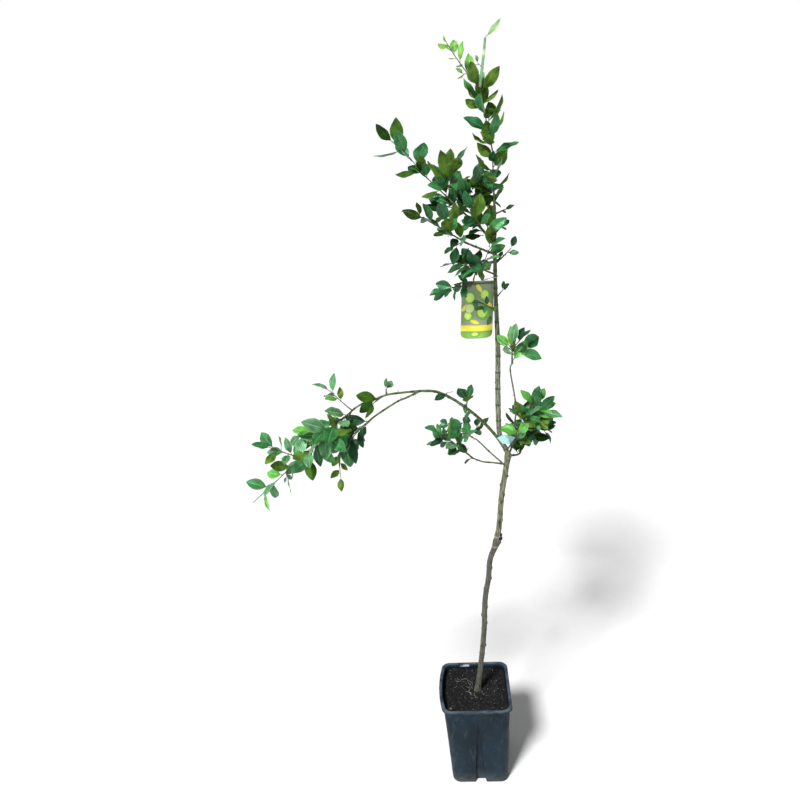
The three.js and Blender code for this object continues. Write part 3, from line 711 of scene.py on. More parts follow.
def bark_look(name, low, high, grain=(1, 1, 0.16), old=None, young=None, rings=True):
    """Bark: fine streaks along the limb, small pale spots, an older colour below the graft and a
    younger one towards the tip"""
    look = Look(name)
    streaks = look.noise(420, 5, grain, 0.65)
    colour = look.mix(look.between(streaks, 0.4, 0.6), low, high)
    if old:
        height = look.parts("Object")[2]
        edge = look.maths("ADD", height, look.times(look.noise(70, 2), 0.02))
        older = look.mix(look.between(streaks, 0.3, 0.7), *old)
        start = (UNION_HEIGHT + 4) * MM
        colour = look.mix(look.between(edge, start, start + 0.02), older, colour)
        for band in GRAFT_BANDS:
            off = look.off(height, (UNION_HEIGHT + band) * MM)
            colour = look.over(colour, (0.3, 0.27, 0.2), look.between(off, 0.0025, 0.0008), 0.7)
    if young:
        share = look.between(look.parts("Object")[2], *YOUNG_BARK)
        colour = look.mix(share, colour, look.mix(streaks, *young))
    spots = look.between(look.noise(800, 2, (1, 1, 0.7)), 0.66, 0.74)
    colour = look.over(colour, tinted(high, 1.7), spots, 0.5)
    if rings:
        run = look.maths("FRACT", look.times(look.parts("UV")[1], MAP_LENGTH / NODE_GAP))
        off = look.maths("ADD", look.off(run, 0.5), look.times(look.noise(300, 2), 0.06))
        colour = look.over(colour, tinted(low, 0.35), look.between(off, 0.11, 0.05), 0.75)
    relief = look.maths("ADD", streaks, look.noise(160, 4, (1, 1, 0.3)))
    return look.finish(colour, 0.8, relief, strength=0.6, depth=0.8, gloss=0.3)


def grained_look(name, colour, roughness, scale=300, spread=0.2, strength=0.25, gloss=0.4):
    """A plain material with a fine grain in its colour and surface"""
    look = Look(name)
    pattern = look.noise(scale, 4)
    shown = look.mix(look.between(pattern, 0.3, 0.7), tinted(colour, 1 - spread), tinted(colour, 1 + spread))
    return look.finish(shown, roughness, pattern, strength=strength, depth=0.3, gloss=gloss)


# Heights of the pot's marks, in metres: the dust fades upwards, the rubbing and the painted highlight on the
# rim's top edge begin
POT_DUST = (0.0, 0.035)
POT_RUBBED = (0.2032, 0.2055)
POT_EDGE_HIGHLIGHT = (0.2082, 0.2094)
# Opposite corners, in metres, of the painted glint inside the pot's back wall
POT_GLINT = ((-0.043, 0.05, 0.2025), (-0.005, 0.0708, 0.2088))


def pot_look():
    """Moulded plastic: scuffs, dried specks, a dusty foot, a rubbed rim, a painted highlight on the rim's
    top and a painted glint inside
    """
    colour = (0.008, 0.019, 0.03)
    look = Look("pot_plastic")
    place = look.parts("Object")
    cloud = look.between(look.noise(14, 5, (1, 1, 0.6), 0.6), 0.35, 0.7)
    shown = look.mix(cloud, tinted(colour, 0.45), tinted(colour, 1.4))
    scuffs = look.between(look.noise(75, 7, (1, 1, 0.4), 0.8), 0.55, 0.72)
    shown = look.over(shown, (0.055, 0.085, 0.1), scuffs, 0.6)
    specks = look.between(look.noise(330, 2), 0.73, 0.8)
    shown = look.over(shown, (0.16, 0.18, 0.19), specks, 0.7)
    dust = look.between(look.noise(48, 6, (1, 1, 1), 0.7), 0.35, 0.6, 0.25, 1.0)
    shown = look.over(shown, (0.11, 0.125, 0.13), look.between(place[2], *POT_DUST, 0.5, 0.0), dust)
    rubbed = look.between(look.noise(60, 4), 0.35, 0.65, 0.0, 0.55)
    shown = look.over(shown, (0.06, 0.085, 0.11), look.between(place[2], *POT_RUBBED), rubbed)
    # Painted highlight: a paler band along the top edge of the rim
    edge_highlight = look.between(look.noise(45, 3), 0.35, 0.6, 0.0, 0.6)
    shown = look.over(shown, (0.12, 0.16, 0.19), look.between(place[2], *POT_EDGE_HIGHLIGHT), edge_highlight)
    # Painted glint: a pale patch high on the inner back wall
    inside = []
    for socket, low, high in zip(place, *POT_GLINT):
        inside += [look.between(socket, low, low + MM), look.between(socket, high, high - MM)]
    shown = look.over(shown, (0.5, 0.55, 0.6), look.between(look.noise(110, 4), 0.36, 0.5), *inside)
    roughness = look.between(look.noise(40, 4), 0.3, 0.7, 0.42, 0.62)
    return look.finish(shown, roughness, look.noise(500, 5), strength=0.2, depth=0.25, gloss=0.13)


def disc_look(name, middle, edge):
    """Print that fades from the middle of a shape to its edge"""
    look = Look(name)
    ragged = look.between(look.noise(200, 3), 0.3, 0.7, -0.12, 0.12)
    fade = look.maths("ADD", look.parts("UV")[0], ragged)
    return look.finish(look.mix(fade, middle, edge), 0.38, look.noise(900, 2), strength=0.05, depth=0.1)


# The camera and the light
SUN_FROM = (-0.42, -0.6, 0.95)
SUN_POWER = 4.2
SUN_SPREAD = 12
# The room is brightest low down and dimmer overhead: the fade's ends and the light at each
ROOM_FADE = (0.34, 0.5, 1.0, 0.1)
pitch, roll = radians(CAMERA_PITCH), radians(CAMERA_ROLL)
ahead = BACK * cos(pitch) - UP * sin(pitch)
level_up = UP * cos(pitch) + BACK * sin(pitch)
level_right = np.array((1.0, 0.0, 0.0))
right = level_right * cos(roll) + level_up * sin(roll)
upward = level_up * cos(roll) - level_right * sin(roll)
lens = bpy.data.cameras.new("camera")
lens.sensor_width = SENSOR
lens.lens = CAMERA_FOCUS * SENSOR
camera = put("camera", lens)
place = np.eye(4)
place[:3, 0], place[:3, 1], place[:3, 2] = right, upward, -ahead
place[:3, 3] = np.array(CAMERA_PLACE) * MM
camera.matrix_world = Matrix(place.tolist())
bpy.context.scene.camera = camera
bpy.context.scene.view_settings.view_transform = "Standard"


def add_light():
    """A broad sun from the front left in a pale room"""
    lamp = bpy.data.lights.new("key", "SUN")
    lamp.energy = SUN_POWER
    lamp.angle = radians(SUN_SPREAD)
    sun = put("key", lamp)
    sun.location = (-1, -2, 3)
    sun.rotation_euler = Vector(SUN_FROM).to_track_quat("Z", "Y").to_euler()
    room = Look("room", world=True)
    strength = room.between(room.parts("Generated")[2], *ROOM_FADE)
    strength.node.interpolation_type = "SMOOTHSTEP"
    background = room.tree.nodes["Background"]
    room.set(background.inputs["Strength"], strength)
    room.set(background.inputs["Color"], (1, 1, 1))
    bpy.context.scene.world = room.material


def build_floor():
    mesh = bpy.data.meshes.new("floor")
    sides = 64
    reach = 40
    ring = [(reach * cos(tau * k / sides), reach * sin(tau * k / sides), 0) for k in range(sides)]
    mesh.from_pydata(ring, [], [list(range(sides))])
    mesh.materials.append(grained_look("floor_paper", (0.82, 0.82, 0.82), 0.9, 40, 0.01, 0.02, 0.1))
    put("floor", mesh)


# The trunk and the limbs

paths = {name: curve(points, LIMB_STEPS) for name, (points, _) in LIMBS.items()}


def bark_relief(seed, amount, trunk=False):
    """Ridges along a limb and a swelling at every bud, and on the trunk the knots and the graft"""
    knots = [
        (height, heading(bearing, 0), size * (STUB_BARK if dark else KNOT_BARK))
        for height, bearing, size, dark in KNOTS
    ]

    def relief(point, out, run, angle):
        grain = noise.noise(Vector((cos(angle) * 2.2, sin(angle) * 2.2, run / 14 + seed)))
        fine = noise.noise(Vector(point) * 0.55)
        bud = hump(run % NODE_GAP, NODE_GAP / 2, 1.8)
        total = amount * (0.6 * grain + 0.4 * fine + 0.9 * bud)
        if trunk:
            total += KNOB_SWELL * hump(point[2], KNOB_HEIGHT, KNOB_REACH) * max(0.0, out[0]) ** 3
            total -= GROOVE_DEPTH * hump(point[2], GROOVE_HEIGHT, GROOVE_REACH)
            for height, facing, swell in knots:
                total += swell * hump(point[2], height, KNOT_REACH) * max(0.0, out @ facing) ** 3
        return total

    return relief


def add_thorns(pile, path, radius_at, seed):
    """A short thorn at the nodes of a limb above the graft"""
    draw = seeded(seed)
    count = max(1, int(length_of(path) / THORN_GAP))
    for k in range(count):
        u = (k + 0.3 + 0.5 * draw()) / count
        point, axis = along(path, u)
        out = across(axis, k * GOLDEN + 60 * draw())
        length = THORN_LENGTH * (0.3 + 0.7 * draw())
        root = point + out * radius_at(u, point) * 0.6
        tip = root + unit(out + axis * 0.35) * length
        pile.add(*tube(np.array((root, (root * 2 + tip) / 3, tip)), taper(THORN_RADII), 6))


def add_stubs(pile, path):
    """The dark ends of cut twigs at some of the trunk's knots"""
    for height, bearing, size, dark in KNOTS:
        if dark:
            foot = path[int(np.abs(path[:, 2] - height).argmin())]
            out = unit(heading(bearing, 0) + UP * 0.25)
            tip = out * (trunk_radius(0.5, foot) + size * 0.85)
            stub = np.array([foot + tip * share for share in (0.5, 0.7, 0.85, 0.95, 1.0)])
            skin = tube(stub, lambda u, _, size=size: size * (1 - 0.75 * u**3), STUB_SIDES)
            pile.add(skin[0], skin[1], 1, skin[3])


def limb_shape(name):
    """A limb's fine path and its radius along it"""
    points, radii = LIMBS[name]
    spacing = SKIN_SPACING[name in THICK_LIMBS]
    steps = max(4, int(length_of(paths[name]) / (len(points) - 1) / spacing) + 1)
    path = curve(points, steps)
    if name == "trunk":
        return path, trunk_radius
    if name in RUNNING_LIMBS:
        return path, taper(radii)
    plain = collar(taper(radii), length_of(path))
    swell = BARK_SWELL if name == "leader" else 0
    return path, lambda u, point: plain(u, point) + swell * hump(point[2], BARK_HEIGHT, BARK_REACH, 4)


def build_limbs():
    trunk = bark_look(
        "bark_trunk", (0.028, 0.03, 0.018), (0.23, 0.23, 0.155),
        old=((0.018, 0.018, 0.014), (0.14, 0.136, 0.105)), rings=False,
    )
    leader = bark_look(
        "bark_leader", (0.03, 0.04, 0.02), (0.23, 0.25, 0.17),
        young=((0.02, 0.032, 0.012), (0.09, 0.12, 0.055)),
    )
    arch = bark_look("bark_arch", (0.03, 0.055, 0.015), (0.15, 0.2, 0.085), (0.2, 1, 1))
    bough = bark_look("bark_bough", (0.045, 0.052, 0.024), (0.17, 0.185, 0.1), (0.4, 1, 0.4))
    stub = grained_look("bark_stub", (0.02, 0.018, 0.013), 0.85, 500, 0.5, 0.4, 0.2)
    groups = {"trunk": ["trunk"], "leader": ["leader"]}
    groups["arch"] = [name for name in LIMBS if name.startswith("arch")]
    groups["bough"] = [name for name in LIMBS if name not in sum(groups.values(), [])]
    looks = {"trunk": [trunk, stub], "leader": [leader], "arch": [arch], "bough": [bough]}
    for group, names in groups.items():
        pile = Pile()
        for name in names:
            path, radius_at = limb_shape(name)
            thick = name in THICK_LIMBS
            relief = bark_relief(len(name), SKIN_RELIEF[thick], name == "trunk")
            pile.add(*tube(path, radius_at, SKIN_SIDES[thick], relief))
            if name == "trunk":
                add_stubs(pile, path)
            else:
                add_thorns(pile, path, radius_at, THORN_SEED + len(name))
        nodes = [name if name in THICK_LIMBS else f"bough_{name}" for name in names]
        pile.piece(f"skin_{group}", looks[group], "bark", nodes)


# The foliage


def room_tree():
    """Everything rigid that no leaf may cut: the limbs, the label, the tag and the pot"""
    points, faces = [], []
    for name, (_, radii) in LIMBS.items():
        skin = tube(paths[name], trunk_radius if name == "trunk" else taper(radii), 8)
        faces += [[len(points) + k for k in face] for face in skin[1]]
        points += [Vector(point) for point in skin[0]]
    for name in ("label", "tag", "pot"):
        mesh = frame["nodes"][name].data
        faces += [[len(points) + k for k in face.vertices] for face in mesh.polygons]
        points += [vertex.co / MM for vertex in mesh.vertices]
    return BVHTree.FromPolygons(points, faces)


def leaf_skins(place, draw, turned):
    """One leaf as two skins: a curled and folded blade on a short stalk"""
    point, out, axis, size, roll = place
    face = leaf_face(out, axis, roll)
    if turned:
        face = -face
    width = LEAF_HALF_WIDTH * (0.88 + 0.28 * draw())
    curl = LEAF_CURL * (0.5 + 1.1 * draw())
    fold = 0.06 + 0.42 * draw() ** 2
    twist = 0.45 * (draw() - 0.5)
    ripple = 0.006 + 0.02 * draw()
    phase = tau * draw()
    # s runs along the leaf with its stalk, t along its blade alone and v across it
    s = np.concatenate(([0, 0.07], np.linspace(PETIOLE_END - 0.01, 1, LEAF_ROWS - 2)))
    v = np.linspace(-1, 1, LEAF_COLUMNS)
    t = np.clip((s - PETIOLE_END) / (1 - PETIOLE_END), 0, 1)
    edge = 1 + 0.02 * np.sin(50 * t + phase)
    blade = width * np.sin(np.pi * t**0.93).clip(0) ** 0.8 * edge
    half = size * np.where(t <= 0, 0.014 + 0.01 * s, np.maximum(blade, 0.01))
    half[-1] = 0.1
    centre = point + np.outer(s, out) * size - np.outer(s * s, face) * size * curl
    turn = twist * t
    normal = np.outer(np.cos(turn), face) + np.outer(np.sin(turn), np.cross(out, face))
    side = np.cross(out, normal)
    wave = ripple * size * np.sin(13 * t[:, None] + phase + 2 * v) * v * v * np.minimum(1, 4 * t)[:, None]
    lift = fold * np.abs(v) * half[:, None] + wave
    rib = 0.5 * np.exp(-((v / 0.16) ** 2)) * (1 - 0.7 * t[:, None])
    sheet = 0.3 * (1 - v**4) + rib
    thick = np.where(t[:, None] <= 0, 0.9 * (1 - v * v), sheet)
    raised = normal[:, None] * lift[..., None]
    upper = centre[:, None] + side[:, None] * (v * half[:, None])[..., None] + raised
    lower = upper - normal[:, None] * thick[..., None]
    maps = np.stack(np.broadcast_arrays(t[:, None], (v + 1) / 2), axis=-1)
    return upper.reshape(-1, 3), lower.reshape(-1, 3), maps.reshape(-1, 2)


# Opposite corners of the space before the tag that the photo shows free of leaves
OPEN_SPACE = ((58, -90, 768), (99, -9.5, 812))
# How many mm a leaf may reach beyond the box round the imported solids
BOX_SLACK = 4.0
# Faces of a leaf's upper side and underside, and those of its blade beyond the stalk
LEAF_FACES = grid_faces(LEAF_ROWS, LEAF_COLUMNS)
LEAF_BACKS = [face[::-1] for face in LEAF_FACES]
BLADE_FACES = LEAF_FACES[4 * (LEAF_COLUMNS - 1) :]


def near_tint(tint, drawn):
    """A spray's own tint, or the next paler or darker one"""
    if tint not in TINT_STEPS:
        return tint
    step = -1 if drawn < DARKER_SHARE else (1 if drawn > 1 - PALER_SHARE else 0)
    return TINT_STEPS[min(max(TINT_STEPS.index(tint) + step, 0), len(TINT_STEPS) - 1)]


def hides_tag(points):
    """Whether any point stands in the open space before the tag and the trunk's head"""
    low, high = np.array(OPEN_SPACE)
    return bool(((points > low) & (points < high)).all(axis=1).any())


def leaves_box(points):
    """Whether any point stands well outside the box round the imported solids"""
    low, high = np.array(solid_bounds) / MM
    return bool(((points < low - BOX_SLACK) | (points > high + BOX_SLACK)).any())


def add_leaf(pile, place, draw, turned, room):
    upper, lower, maps = leaf_skins(place, draw, turned)
    blade = BVHTree.FromPolygons([Vector(point) for point in upper], BLADE_FACES)
    if room.overlap(blade) or hides_tag(upper) or leaves_box(upper):
        return False
    pile.add(upper, LEAF_FACES, 0, maps)
    pile.add(lower, LEAF_BACKS, 1, maps)
    return True


def add_shoots(twigs, pile, path, seed, count, young, room):
    """Fine side shoots with two leaves each, about as long as young says"""
    draw = seeded(seed)
    for k in range(count):
        point, axis = along(path, 0.3 + 0.6 * draw())
        out = unit(axis * 0.7 + across(axis, 360 * draw()))
        length = 5 + 6 * draw()
        twigs.add(*tube(np.array((point, point + out * length)), taper((0.6, 0.35)), 6))
        for n in range(2):
            way = unit(out * 0.8 + across(out, 180 * n + 90 * draw()) * 0.7)
            place = (point + out * length * (0.6 + 0.4 * n), way, out, young + 7 * draw(), draw() - 0.5)
            add_leaf(pile, place, draw, draw() < 0.3, room)


def pair(place):
    """A large leaf's place, or in its stead the places of two smaller leaves that fan out"""
    point, out, axis, size, roll = place
    if size < LARGE_LEAF:
        return [place]
    side = np.cross(out, leaf_face(out, axis, roll))
    parts = []
    for spread, start, share in ((22, 0.0, 0.82), (-26, 0.12, 0.74)):
        spread = radians(spread)
        way = out * cos(spread) + side * sin(spread)
        parts.append((point + out * size * start, way, axis, size * share, roll))
    return parts


def spray_leaves(spray, path):
    """A spray's leaves: those of the rule, with the large ones parted and the crown's tip set right"""
    places = leaf_places(path, spray)
    if spray.id not in WHOLE_LEAVES:
        places = [part for place in places for part in pair(place)]
    for number, (share, way, roll) in TIP_LEAVES.get(spray.id, {}).items():
        point, _, axis, size, _ = places[number]
        places[number] = (point, unit(np.array(way)), axis, size * share, roll)
    if spray.id == "T1":
        return places[1:]
    if spray.id == "T2":
        start, size, roll = YOUNG_LEAF
        point, axis = along(path, start)
        places.append((point + BACK * 8, unit(UP + BACK * 0.1), axis, size, roll))
    return places


def add_spur(twigs, point, out, axis, draw):
    """A bud's short spur at a leaf's foot"""
    root = point + unit(out - axis * (out @ axis)) * 0.4
    away = unit(out * 0.5 + across(axis, 200 * draw()) * 0.6)
    tip = root + away * (3 + 4 * draw())
    twigs.add(*tube(np.array((root, tip)), taper((0.5, 0.06)), 5))


def grow_foliage():
    leaves = {tint: (Pile(), set()) for tint in LEAF_COLOURS}
    twigs = Pile()
    room = room_tree()
    for mass, rows in MASSES.items():
        for index, row in enumerate(rows):
            spray = Spray(*row)
            path = arc(along(paths[spray.parent], spray.at)[0], spray)
            paths[spray.id] = path
            relief = bark_relief(spray.seed % 13, 0.2)
            if spray.id == "T1":
                leaves["pale"][0].add(*tube(curve(path, 4), taper(TOP_STALK), 10, relief))
            else:
                shape = collar(taper(TWIG_RADII if index else STEM_RADII), spray.length, 0.5)
                twigs.add(*tube(curve(path, 4), shape, 10, relief))
            draw = seeded(spray.seed + SHAPE_SEED)
            for point, out, axis, size, roll in spray_leaves(spray, path):
                place = (point, out, axis, size * SMALLER_LEAVES.get(spray.id, 1.0), roll)
                pile, nodes = leaves[near_tint(spray.tint, draw())]
                nodes.add(f"foliage_{mass}")
                if add_leaf(pile, place, draw, draw() < spray.turned, room):
                    if draw() < SPUR_SHARE and size > SPUR_LEAF:
                        add_spur(twigs, point, out, axis, draw)
            dense = DENSE_SHOOTS.get(spray.id, 0)
            young = DENSE_SHOOT_LEAF if dense else SHOOT_LEAF
            count = int(length_of(path) / SHOOT_GAP) + dense
            seed = spray.seed + SHOOT_SEED
            add_shoots(twigs, leaves[spray.tint][0], path, seed, count, young, room)
    for limb, (tint, seed, count) in BOUGH_SHOOTS.items():
        add_shoots(twigs, leaves[tint][0], paths[limb], seed, count, DENSE_SHOOT_LEAF, room)
    for tint, (pile, nodes) in leaves.items():
        upper, under = LEAF_COLOURS[tint]
        skins = [
            leaf_look(f"leaf_{tint}", upper, False, VEIN_SHARE.get(tint, PLAIN_VEINS)),
            leaf_look(f"leaf_{tint}_under", under, True, PLAIN_VEINS),
        ]
        pile.piece(f"leaves_{tint}", skins, "foliage", sorted(nodes))
    wood = grained_look("twig_bark", (0.06, 0.08, 0.03), 0.7, 500, 0.4, 0.5)
    twigs.piece("twigs", [wood], "bark", [f"foliage_{mass}" for mass in MASSES])


# The pot and its soil
BOWED_FACE = 2
# The half rounds embossed on each face: their radius, place beside the middle, foot and relief
EMBOSSED = (11, 33, 15, 0.5)


def spin(x, y, degrees):
    """A flat place turned round the origin"""
    turn = radians(degrees)
    return x * cos(turn) - y * sin(turn), x * sin(turn) + y * cos(turn)


def pot_rise(z):
    """How far up the pot's body a height is, from 0 to 1"""
    return min(z / (POT_HEIGHT - RIM_HEIGHT), 1)


def pot_half(z):
    return (POT_BOTTOM + (POT_BODY - POT_BOTTOM) * pot_rise(z)) / 2


def pot_ring(z, inset, spread=0.0, corner_steps=8):
    """One level of the pot's side: a square with round corners, a flute in each face and a bow"""
    half = pot_half(z) + spread - inset
    corner = POT_CORNER - inset
    straight = half - corner
    fluted = max(0.0, 1 - z / FLUTE_TOP)
    depth = FLUTE_DEPTH * fluted
    mouth = FLUTE_MOUTH * max(fluted, 0.1) / 2 + inset
    bed = FLUTE_FLOOR * max(fluted, 0.05) / 2 + inset
    left = [(-part * straight, 0.0) for part in (0.9, 0.75, 0.6, 0.45)]
    left += [(-mouth - 0.5, 0.0), (-mouth, 0.0), (-bed, depth), (-bed * 0.5, depth)]
    profile = left + [(0.0, depth)] + [(-y, sunk) for y, sunk in reversed(left)]
    ring = []
    for face in range(4):
        turn = Matrix.Rotation(radians(face * 90 + POT_YAW), 3, "Z")
        outline = []
        for y, sunk in profile:
            bow = POT_BOW * pot_rise(z) * (1 - (y / straight) ** 2) if face == BOWED_FACE else 0.0
            outline.append((half - sunk + bow, y))
        for k in range(corner_steps + 1):
            angle = pi / 2 * k / corner_steps
            outline.append((straight + corner * cos(angle), straight + corner * sin(angle)))
        ring += [turn @ Vector((x, y, z)) for x, y in outline]
    return np.array(ring)


# Levels of the pot's skin, from the underside up and down the inside: height and inset. An inset
# below 0 is the rim standing proud of the body.
POT_SKIN = [
    (0, 1.8), (0.3, 0.9), (0.9, 0.3), (2, 0), (7, 0), (13, 0), (13.5, 0.5), (14.3, 0.5), (14.8, 0),
    (40, 0), (70, 0), (100, 0), (130, 0), (160, 0), (180, 0), (FLUTE_TOP, 0), (196, 0), (203.4, 0),
    (203.8, -1), (203.9, -3), (204.6, -4.4), (206, -5), (208, -4.9), (209.4, -4), (210, -2.2),
    (209.9, 0), (209.2, 1.4), (207, POT_WALL), (203, POT_WALL), (200, POT_WALL), (196, POT_WALL),
    (FLUTE_TOP, POT_WALL), (120, POT_WALL), (60, POT_WALL), (POT_FLOOR, POT_WALL),
]


def loft(rings):
    """A closed skin through rings of points, with a cap at each end"""
    points = np.concatenate([*rings, rings[0].mean(0)[None], rings[-1].mean(0)[None]])
    return points, capped_faces(len(rings), len(rings[0]))


def build_pot():
    rings = []
    for z, inset in POT_SKIN:
        ring = pot_ring(z, max(inset, 0), max(-inset, 0))
        if z > 203.5:
            wave = [-0.5 * abs(noise.noise(Vector(point) * 0.04)) for point in ring]
            ring = ring + np.outer(wave, UP)
        rings.append(ring)
    pile = Pile()
    pile.add(*loft(rings))
    add_embossing(pile)
    pot = pile.piece("pot_shell", [pot_look()], "pot", ["pot"], sharp=38)
    for bearing in (45, 135, 225, 315):
        drill = drill_object(heading(bearing + POT_YAW, 0) * DRAIN_ACROSS * sqrt(2))
        cut = pot.modifiers.new("drain", "BOOLEAN")
        cut.operation = "DIFFERENCE"
        cut.object = drill
        with bpy.context.temp_override(object=pot, active_object=pot):
            bpy.ops.object.modifier_apply(modifier=cut.name)
        bpy.data.objects.remove(drill)


def drill_object(centre):
    """A peg that stands through the pot's floor"""
    ends = np.array([centre + UP * reach for reach in (-4 * POT_FLOOR, 4 * POT_FLOOR)])
    points, faces, _, _ = tube(ends, lambda u, point: DRAIN_RADIUS, 32)
    return put("drill", mesh_of("drill", points, faces))


def add_embossing(pile):
    """Two raised half rounds over the feet of each face"""
    reach, middle, low, relief = EMBOSSED
    for face in range(4):
        turn = np.array(Matrix.Rotation(radians(face * 90 + POT_YAW), 3, "Z"))
        for centre in (-middle, middle):
            path = []
            for k in range(17):
                angle = pi * k / 16
                z = low + reach * sin(angle)
                path.append(turn @ np.array((pot_half(z) - 0.1, centre + reach * cos(angle), z)))
            pile.add(*tube(np.array(path), lambda u, point: relief, 8))


# The soil: how many crumbs lie on it, over what width and in what corners, how far they keep from
# the trunk's foot, and where the pebble and how high the roots lie
CRUMBS = 2600
SOIL_WIDTH = 132
SOIL_CORNER = (50, 15)
TRUNK_FOOT = 2
FOOT_CLEAR = 8
PEBBLE = (-60.0, -48.0)
ROOT_LIFT = 0.9


def soil_height(x, y):
    """The soil lies rough, heaps up at the trunk and has drawn back from the left wall"""
    across_pot, _ = spin(x, y, -POT_YAW)
    spot = Vector((x, y, 0))
    rough = 1.5 * noise.noise(spot / 11) + 0.9 * noise.noise(spot / 4) + 0.5 * noise.noise(spot / 1.7)
    heap = 2.5 * exp(-(((x - TRUNK_FOOT) ** 2 + y * y) / 200))
    gap = 9 * max(0.0, min(1.0, (-57 - across_pot) / 6))
    return SOIL_TOP - 1 + rough + heap - gap


def build_soil():
    rings = [pot_ring(z, POT_WALL + SEAT) for z in (POT_FLOOR + SEAT, 60, 120, FLUTE_TOP - 1)]
    edge = pot_ring(SOIL_TOP - 6, POT_WALL + SEAT)
    steps = 46
    for k in range(steps):
        share = 1 - k / steps
        ring = edge * (share, share, 1)
        ring[:, 2] = [soil_height(x, y) for x, y, _ in ring]
        rings.append(ring)
    pile = Pile()
    pile.add(*loft(rings))
    draw = seeded(41)
    middle, reach = SOIL_CORNER
    for _ in range(CRUMBS):
        across_pot, deep = SOIL_WIDTH * (draw() - 0.5), SOIL_WIDTH * (draw() - 0.5)
        x, y = spin(across_pot, deep, POT_YAW)
        corner = hypot(max(abs(across_pot) - middle, 0), max(abs(deep) - middle, 0))
        if hypot(x - TRUNK_FOOT, y) < FOOT_CLEAR or corner > reach:
            continue
        kind = draw()
        size = 0.5 + 1.6 * draw() ** 2
        slot = 2 if kind > 0.965 else (1 if kind > 0.6 else 0)
        if slot == 2:
            size = 0.35 + 0.5 * draw()
        centre = np.array((x, y, soil_height(x, y) + 0.25 * size))
        pile.add(*blob(centre, size, draw), slot)
    pebble = np.array((*PEBBLE, soil_height(*PEBBLE) + 1.5))
    pile.add(*blob(pebble, 3.2, draw, 0.6), 3)
    dark = grained_look("soil_dark", (0.0115, 0.0118, 0.0122), 0.95, 330, 0.85, 0.9, 0.15)
    brown = grained_look("soil_brown", (0.04, 0.04, 0.039), 0.95, 500, 0.6, 0.8, 0.15)
    white = grained_look("perlite", (0.5, 0.48, 0.43), 0.9, 900, 0.15, 0.6, 0.2)
    stone = grained_look("pebble", (0.17, 0.145, 0.12), 0.8, 400, 0.25, 0.5, 0.25)
    pile.piece("soil_bed", [dark, brown, white, stone], "soil", ["soil"])


# Thin roots that lie on the soil: their places across it
ROOTS = [
    [(-41.8, 37), (-36.1, 27.1), (-23.9, 34.8), (-13.1, 30.4), (-3.6, 17.1)],
    [(-13, 31), (-14, 22), (-9, 16), (-4, 12)],
    [(-20, 12), (-14, 7), (-10, 9), (-6, 2)],
    [(-22, -3), (-16, -5), (-12, -11), (-13, -20)],
    [(-12, 3), (-16, -6), (-11, -9), (-14, -15)],
    [(-3, -10), (-6, -16), (-3, -21), (-6, -26)],
    [(9, -6), (14, -8), (14, -13), (18, -17)],
]


def build_roots():
    pile = Pile()
    for root in ROOTS:
        path = curve([(x, y, 0) for x, y in root], 10)
        path[:, 2] = [soil_height(x, y) + ROOT_LIFT for x, y, _ in path]
        pile.add(*tube(path, taper((0.42, 0.2)), 8, bark_relief(3, 0.15)))
    look = grained_look("root_bark", (0.27, 0.26, 0.23), 0.85, 600, 0.4, 0.5, 0.2)
    pile.piece("surface_roots", [look], "bark")


# The label with its print, the loop that holds it, and the small tag
LABEL_PLACE = (48, 12.5, 1096)
LABEL_WIDTH = 60
LABEL_SIDE = 92
LABEL_SAG = 13
LABEL_LEAN = 4.8
LABEL_YAW = 8
LOOP_POINTS = [
    (48, 12.8, 1090.4), (50, 8, 1092.5), (57, 4, 1098), (67, 0.8, 1101), (76.6, -0.25, 1101.5),
    (80.1, 1, 1102), (81.4, 4.2, 1103), (80.1, 7.4, 1102.5), (76.6, 8.65, 1102),
    (62, 16.5, 1096), (50.5, 16.8, 1091.6),
]
LOOP_RADIUS = 0.6
PRINT_LIFT = 0.06
# The inks of the print: the colour at the middle of a shape and at its edge
INKS = {
    "ground": ((0.34, 0.42, 0.27), (0.22, 0.29, 0.17)),
    "lime": ((0.8, 0.93, 0.18), (0.48, 0.8, 0.14)),
    "green": ((0.35, 0.62, 0.1), (0.14, 0.36, 0.06)),
    "yellow": ((0.92, 0.85, 0.1), (0.85, 0.72, 0.08)),
    "dark": ((0.02, 0.03, 0.02), (0.05, 0.06, 0.04)),
    "leaf": ((0.05, 0.2, 0.06), (0.02, 0.1, 0.03)),
    "white": ((0.75, 0.85, 0.6), (0.7, 0.8, 0.5)),
}
# The printed limes and leaves: their middle across and below the top edge, and their half sizes.
# A leaf has its lean and its ink too.
LIMES = (
    (-13, -31, 11, 12), (14, -26, 10, 11), (11, -57, 13, 14), (-16, -63, 9, 10), (-2, -97, 9, 4.5),
)
SPRIGS = (
    (2, -13, 4, 9, 35, "yellow"), (-22, -47, 4, 10, -50, "yellow"), (21, -42, 3.5, 8, 60, "yellow"),
    (-3, -44, 4.5, 11, 15, "leaf"), (-4, -74, 3.5, 9, 70, "yellow"), (23, -72, 4, 9, -20, "leaf"),
    (-24, -22, 3, 8, 20, "leaf"),
)
# The printed slice: its middle and radius, and one of its wedges as shares of the radius and turns
SLICE = (-14, -49, 8.5)
WEDGE = ((0.14, 0.0), (0.78, -0.26), (0.83, 0.0), (0.78, 0.26))
WEDGES = 9


def label_point(x, z, lift):
    """A point of the label's face, from its place across and below the top edge"""
    turn = Matrix.Rotation(radians(LABEL_YAW), 3, "Z") @ Matrix.Rotation(radians(LABEL_LEAN), 3, "Y")
    return np.array(LABEL_PLACE) + np.array(turn @ Vector((x, -lift, z)))


def label_low(x):
    """How far down the label reaches at a place across it"""
    u = min(1.0, abs(x) / (LABEL_WIDTH / 2))
    return -LABEL_SIDE - LABEL_SAG * (1 - u**4) ** 0.35


